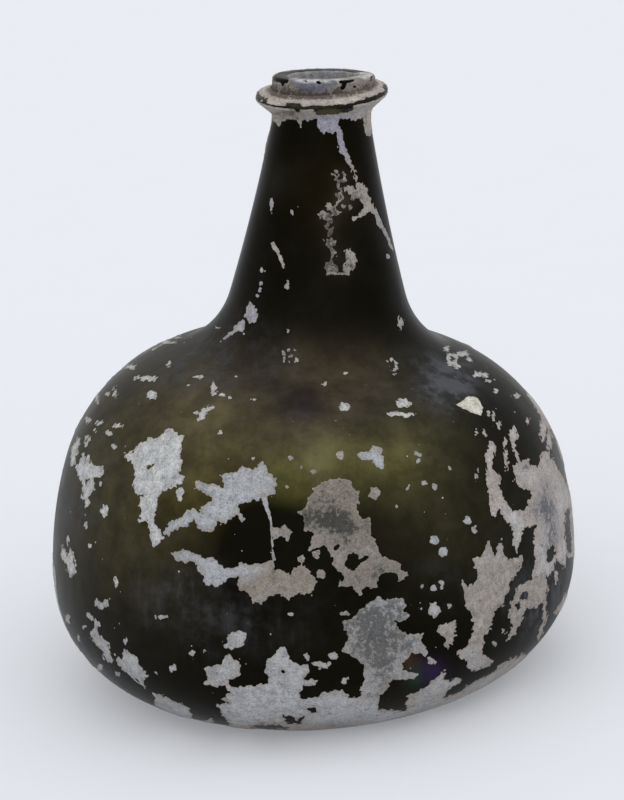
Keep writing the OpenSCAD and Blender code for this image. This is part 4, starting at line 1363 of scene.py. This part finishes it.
sheet = lay_sheet(lip_line, *ALL_ROUND, LIP_CELL)
from_middle = places(sheet)
points, sight, x, y = sighted(sheet, leaned)
facing = sight > 0
reach = np.linalg.norm(from_middle[:, :2], axis=1)
outside = reach > LIP_R - LIP_ROUND
inside = reach < bore_r + MOUTH_ROUND / 2
depth = np.full(len(points), LIP_WHOLE)
for outline in LIP_BITES:
    depth = worn_to(depth, facing & outside, -inside_outline(x, y, outline))
around = np.degrees(np.arctan2(from_middle[:, 0], -from_middle[:, 1]))
for azimuth, width, height in LIP_BACK_BITES:
    swing = (around - azimuth + 180) % 360 - 180
    u = np.radians(swing) * LIP_R / (LIP_R * math.radians(width) / 2)
    v = (from_middle[:, 2] - mouth_z + RIM_DROP / 2) / (LIP_R * math.radians(height) / 2)
    depth = worn_to(depth, outside, (np.hypot(u, v) - 1) * LIP_BITE_PIXELS)
for outline in MOUTH_BITES:
    depth = worn_to(depth, facing & inside, -inside_outline(x, y, outline))
low = mouth_z - from_middle[:, 2]
depth = worn_to(depth, inside, (LIP_INSIDE - low) * PIXELS_PER_M - LIP_INSIDE_FRAY)
left_in_ring = np.minimum(around - LIP_RING[0], LIP_RING[1] - around)
depth = worn_to(depth, ~outside & ~inside, 0.9 * left_in_ring)
depth += 1.5 * wander(points, 0.0022, 91) + 1.3 * wander(points, 0.0009, 92)
depth = np.where(inside, depth + 2.5 * wander(points, 0.0030, 93), depth)
groove = np.clip((low - LIP_GROOVE_FROM) / LIP_GROOVE_OVER, 0, 1) * outside
speckled = np.clip(0.5 + wander(points, 0.0014, 94), 0, 1)
stain = groove * (0.65 + 0.8 * speckled) + 0.3 * inside * np.clip(0.3 + wander(points, 0.002, 95), 0, 1)
stain += 0.5 * outside * np.clip(wander(points, 0.0018, 98) + 0.2, 0, 1)
side = np.abs(np.sin(np.radians(around)))
warm = np.where(inside, 1.8 * side - 0.5, 1.1 + spots_at(x, y, LIP_LILAC))
# Pale top edge: partly pale crust and partly a painted highlight along the lip's edge.
edge = np.clip(1.3 - low / LIP_PALE_EDGE, 0, 1) * ~inside
pale = np.where(inside, 0.30, 0.85 * edge * np.clip(0.6 + wander(points, 0.002, 97), 0, 1))
paint(sheet, stain=stain, warm=warm, pale=pale)
thickened(sheet, trimmed(sheet, depth), 96)
lip_finish = crust_finish("lip_crust", (0.108, 0.108, 0.140, 1),
                          (0.200, 0.172, 0.154, 1), (0.040, 0.028, 0.019, 1))
lip_crust = place_piece(sheet, "lip_crust_dressed", lip_finish, CRUST_SHARP)
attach(lip_crust, "root")
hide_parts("lip_crust")

# Crust of the string rim: it covers the upper face, where it is palest, and most of the lower face, and has
# worn off along the edge and on a stretch of the lower face at the front.
RIM_SKIN = 0.00010
RIM_UPPER_EDGE = 0.00036
RIM_LOWER_EDGE = 0.00030
RIM_EDGE_STEEPNESS = 3
RIM_WHOLE = 6
RIM_CREASE_REACH = 0.0020
RIM_CREASE_W = 0.0018
RIM_WARMTH = 0.7
RIM_UNDER_BARE = [
    [(313, 106), (330, 107), (353, 105), (352, 110), (347, 113), (331, 115.5), (318, 115.5), (312, 111)],
    [(291, 107), (300, 108), (300, 112), (296, 111)],
]
RIM_UPPER_BARE = [
    [(255, 93), (258, 92), (262, 97), (268, 98), (267, 103), (262, 101), (255, 98)],
    [(285, 104), (296, 103), (304, 106), (313, 106), (312, 109), (285, 107)],
    [(313, 105), (330, 105), (353, 103), (353, 109), (313, 110)],
    [(355, 102), (366, 98), (376, 95), (377, 100), (366, 103), (356, 106)],
    [(383, 84), (388, 86), (388, 92), (377, 98), (376, 95), (384, 90)],
]
# The underside of the string rim is painted darker as shade under the rim, with thin painted shadow lines at
# the neck.
RIM_UNDER_SHADE_AND_STAINS = [
    ((285, 113), 60, 10, 0.65), ((285, 118.5), 44, 3, 0.6), ((365, 106), 24, 14, 0.3),
    ((330, 117), 40, 3, 0.6),
]
RIM_UPPER_STAINS = [((362, 90), 30, 6, 0.35), ((280, 97), 24, 5, 0.3), ((320, 98), 70, 4, 0.25)]


def rim_crust(line, seed, bare, stains, worn):
    """Crust on one face of the string rim, worn off so far up or down from its edge."""
    sheet = lay_sheet(line, *ALL_ROUND, LIP_CELL)
    from_rim = places(sheet)
    points, sight, x, y = sighted(sheet, rim_seated)
    facing = sight > 0
    from_edge = np.abs(from_rim[:, 2]) - worn
    depth = np.clip(from_edge * RIM_EDGE_STEEPNESS * PIXELS_PER_M, -FAR, RIM_WHOLE)
    for outline in bare:
        depth = worn_to(depth, facing, -inside_outline(x, y, outline))
    patches = np.clip(3.5 * wander(points, 0.008, seed + 3), -4, 1)
    depth = np.where(facing, depth, depth + patches)
    depth += 1.4 * wander(points, 0.0020, seed) + 1.4 * wander(points, 0.0008, seed + 1)
    hidden_stain = 0.3 * np.clip(wander(points, 0.006, seed + 2), 0, 1)
    stain = np.where(facing, spots_at(x, y, stains), hidden_stain)
    reach = np.linalg.norm(from_rim[:, :2], axis=1)
    crease = np.clip((LIP_R + RIM_CREASE_REACH - reach) / RIM_CREASE_W, 0, 1) * (from_rim[:, 2] > 0)
    paint(sheet, stain=stain + 1.1 * crease, warm=np.full(len(points), RIM_WARMTH))
    thickened(sheet, trimmed(sheet, depth), seed + 4)
    return sheet


rim_edge_r = RIM_EDGE_R + RIM_SKIN
rim_up_r = RIM_UP_FILLET - RIM_SKIN
rim_down_r = RIM_DOWN_FILLET - RIM_SKIN
upper_face = np.concatenate([
    arc_points(rim_edge_c, rim_edge_r, 0, rim_up_a, LIP_CELL),
    line_points(rim_edge_c + polar(rim_edge_r, rim_up_a),
                rim_up_c + polar(rim_up_r, rim_up_a + 180), LIP_CELL),
    arc_points(rim_up_c, rim_up_r, rim_up_a + 180, 180, LIP_CELL),
])
lower_face = np.concatenate([
    arc_points(rim_down_c, rim_down_r, 180, rim_down_a + 180, LIP_CELL),
    line_points(rim_down_c + polar(rim_down_r, rim_down_a + 180),
                rim_edge_c + polar(rim_edge_r, rim_down_a), LIP_CELL),
    arc_points(rim_edge_c, rim_edge_r, rim_down_a, 0, LIP_CELL),
])
rim_finish = crust_finish("rim_crust", (0.36, 0.345, 0.335, 1),
                          (0.385, 0.34, 0.305, 1), (0.070, 0.051, 0.037, 1))
sheet = rim_crust(upper_face, 101, RIM_UPPER_BARE, RIM_UPPER_STAINS, RIM_UPPER_EDGE)
rim_upper_crust = place_piece(sheet, "rim_upper_crust_dressed", rim_finish, CRUST_SHARP)
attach(rim_upper_crust, "root")
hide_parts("rim_upper_crust")

sheet = rim_crust(lower_face, 111, RIM_UNDER_BARE, RIM_UNDER_SHADE_AND_STAINS, RIM_LOWER_EDGE)
rim_lower_crust = place_piece(sheet, "rim_lower_crust_dressed", rim_finish, CRUST_SHARP)
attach(rim_lower_crust, "root")
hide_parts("rim_lower_crust")

# Studio: a pale sweep of paper under the bottle and a soft white tent all round it, brightest in front and
# overhead. The light is even, so that colours come out about as they are written.
FLOOR_HALF = 4.0
bm = bmesh.new()
bmesh.ops.create_grid(bm, x_segments=1, y_segments=1, size=FLOOR_HALF)
floor_paper, start = new_finish("floor_paper")
fibre = start.grain(0.05, 3, 0.5)
white = start.mix(fibre, (0.78, 0.795, 0.835, 1), (0.80, 0.81, 0.85, 1))
paper = start.add("ShaderNodeBsdfPrincipled", {},
                  {"Base Color": white, "Roughness": 0.9, "Specular IOR Level": 0.0})
glow = start.add("ShaderNodeEmission", {}, {"Color": (0.84, 0.855, 0.89, 1)})
seen_ray = start.add("ShaderNodeLightPath", {}, {}, "Is Camera Ray")
mirrored_ray = start.add("ShaderNodeLightPath", {}, {}, "Is Glossy Ray")
passed_ray = start.add("ShaderNodeLightPath", {}, {}, "Is Transmission Ray")
share = 0.25 * (seen_ray + mirrored_ray + passed_ray)
lit = start.add("ShaderNodeMixShader", {}, {0: share, 1: paper, 2: glow})
start.add("ShaderNodeOutputMaterial", {}, {"Surface": lit})
floor = place_piece(bm, "floor", floor_paper)

world = bpy.data.worlds.new("studio")
world.use_nodes = True
world.node_tree.nodes.clear()
start = Value(world.node_tree)
way = start.add("ShaderNodeTexCoord", {}, {}, "Generated")
to_right = start.add("ShaderNodeSeparateXYZ", {}, {"Vector": way}, "X")
to_back = start.add("ShaderNodeSeparateXYZ", {}, {"Vector": way}, "Y")
to_top = start.add("ShaderNodeSeparateXYZ", {}, {"Vector": way}, "Z")
softbox = (0.10 * to_right - 0.66 * to_back + 0.74 * to_top).above(0.15, 0.95)
level = 0.70 + 0.72 * softbox
shader = start.add("ShaderNodeBackground", {}, {"Color": (0.97, 0.985, 1.0, 1), "Strength": level})
start.add("ShaderNodeOutputWorld", {}, {"Surface": shader})
bpy.context.scene.world = world
bpy.context.scene.view_settings.view_transform = "Standard"
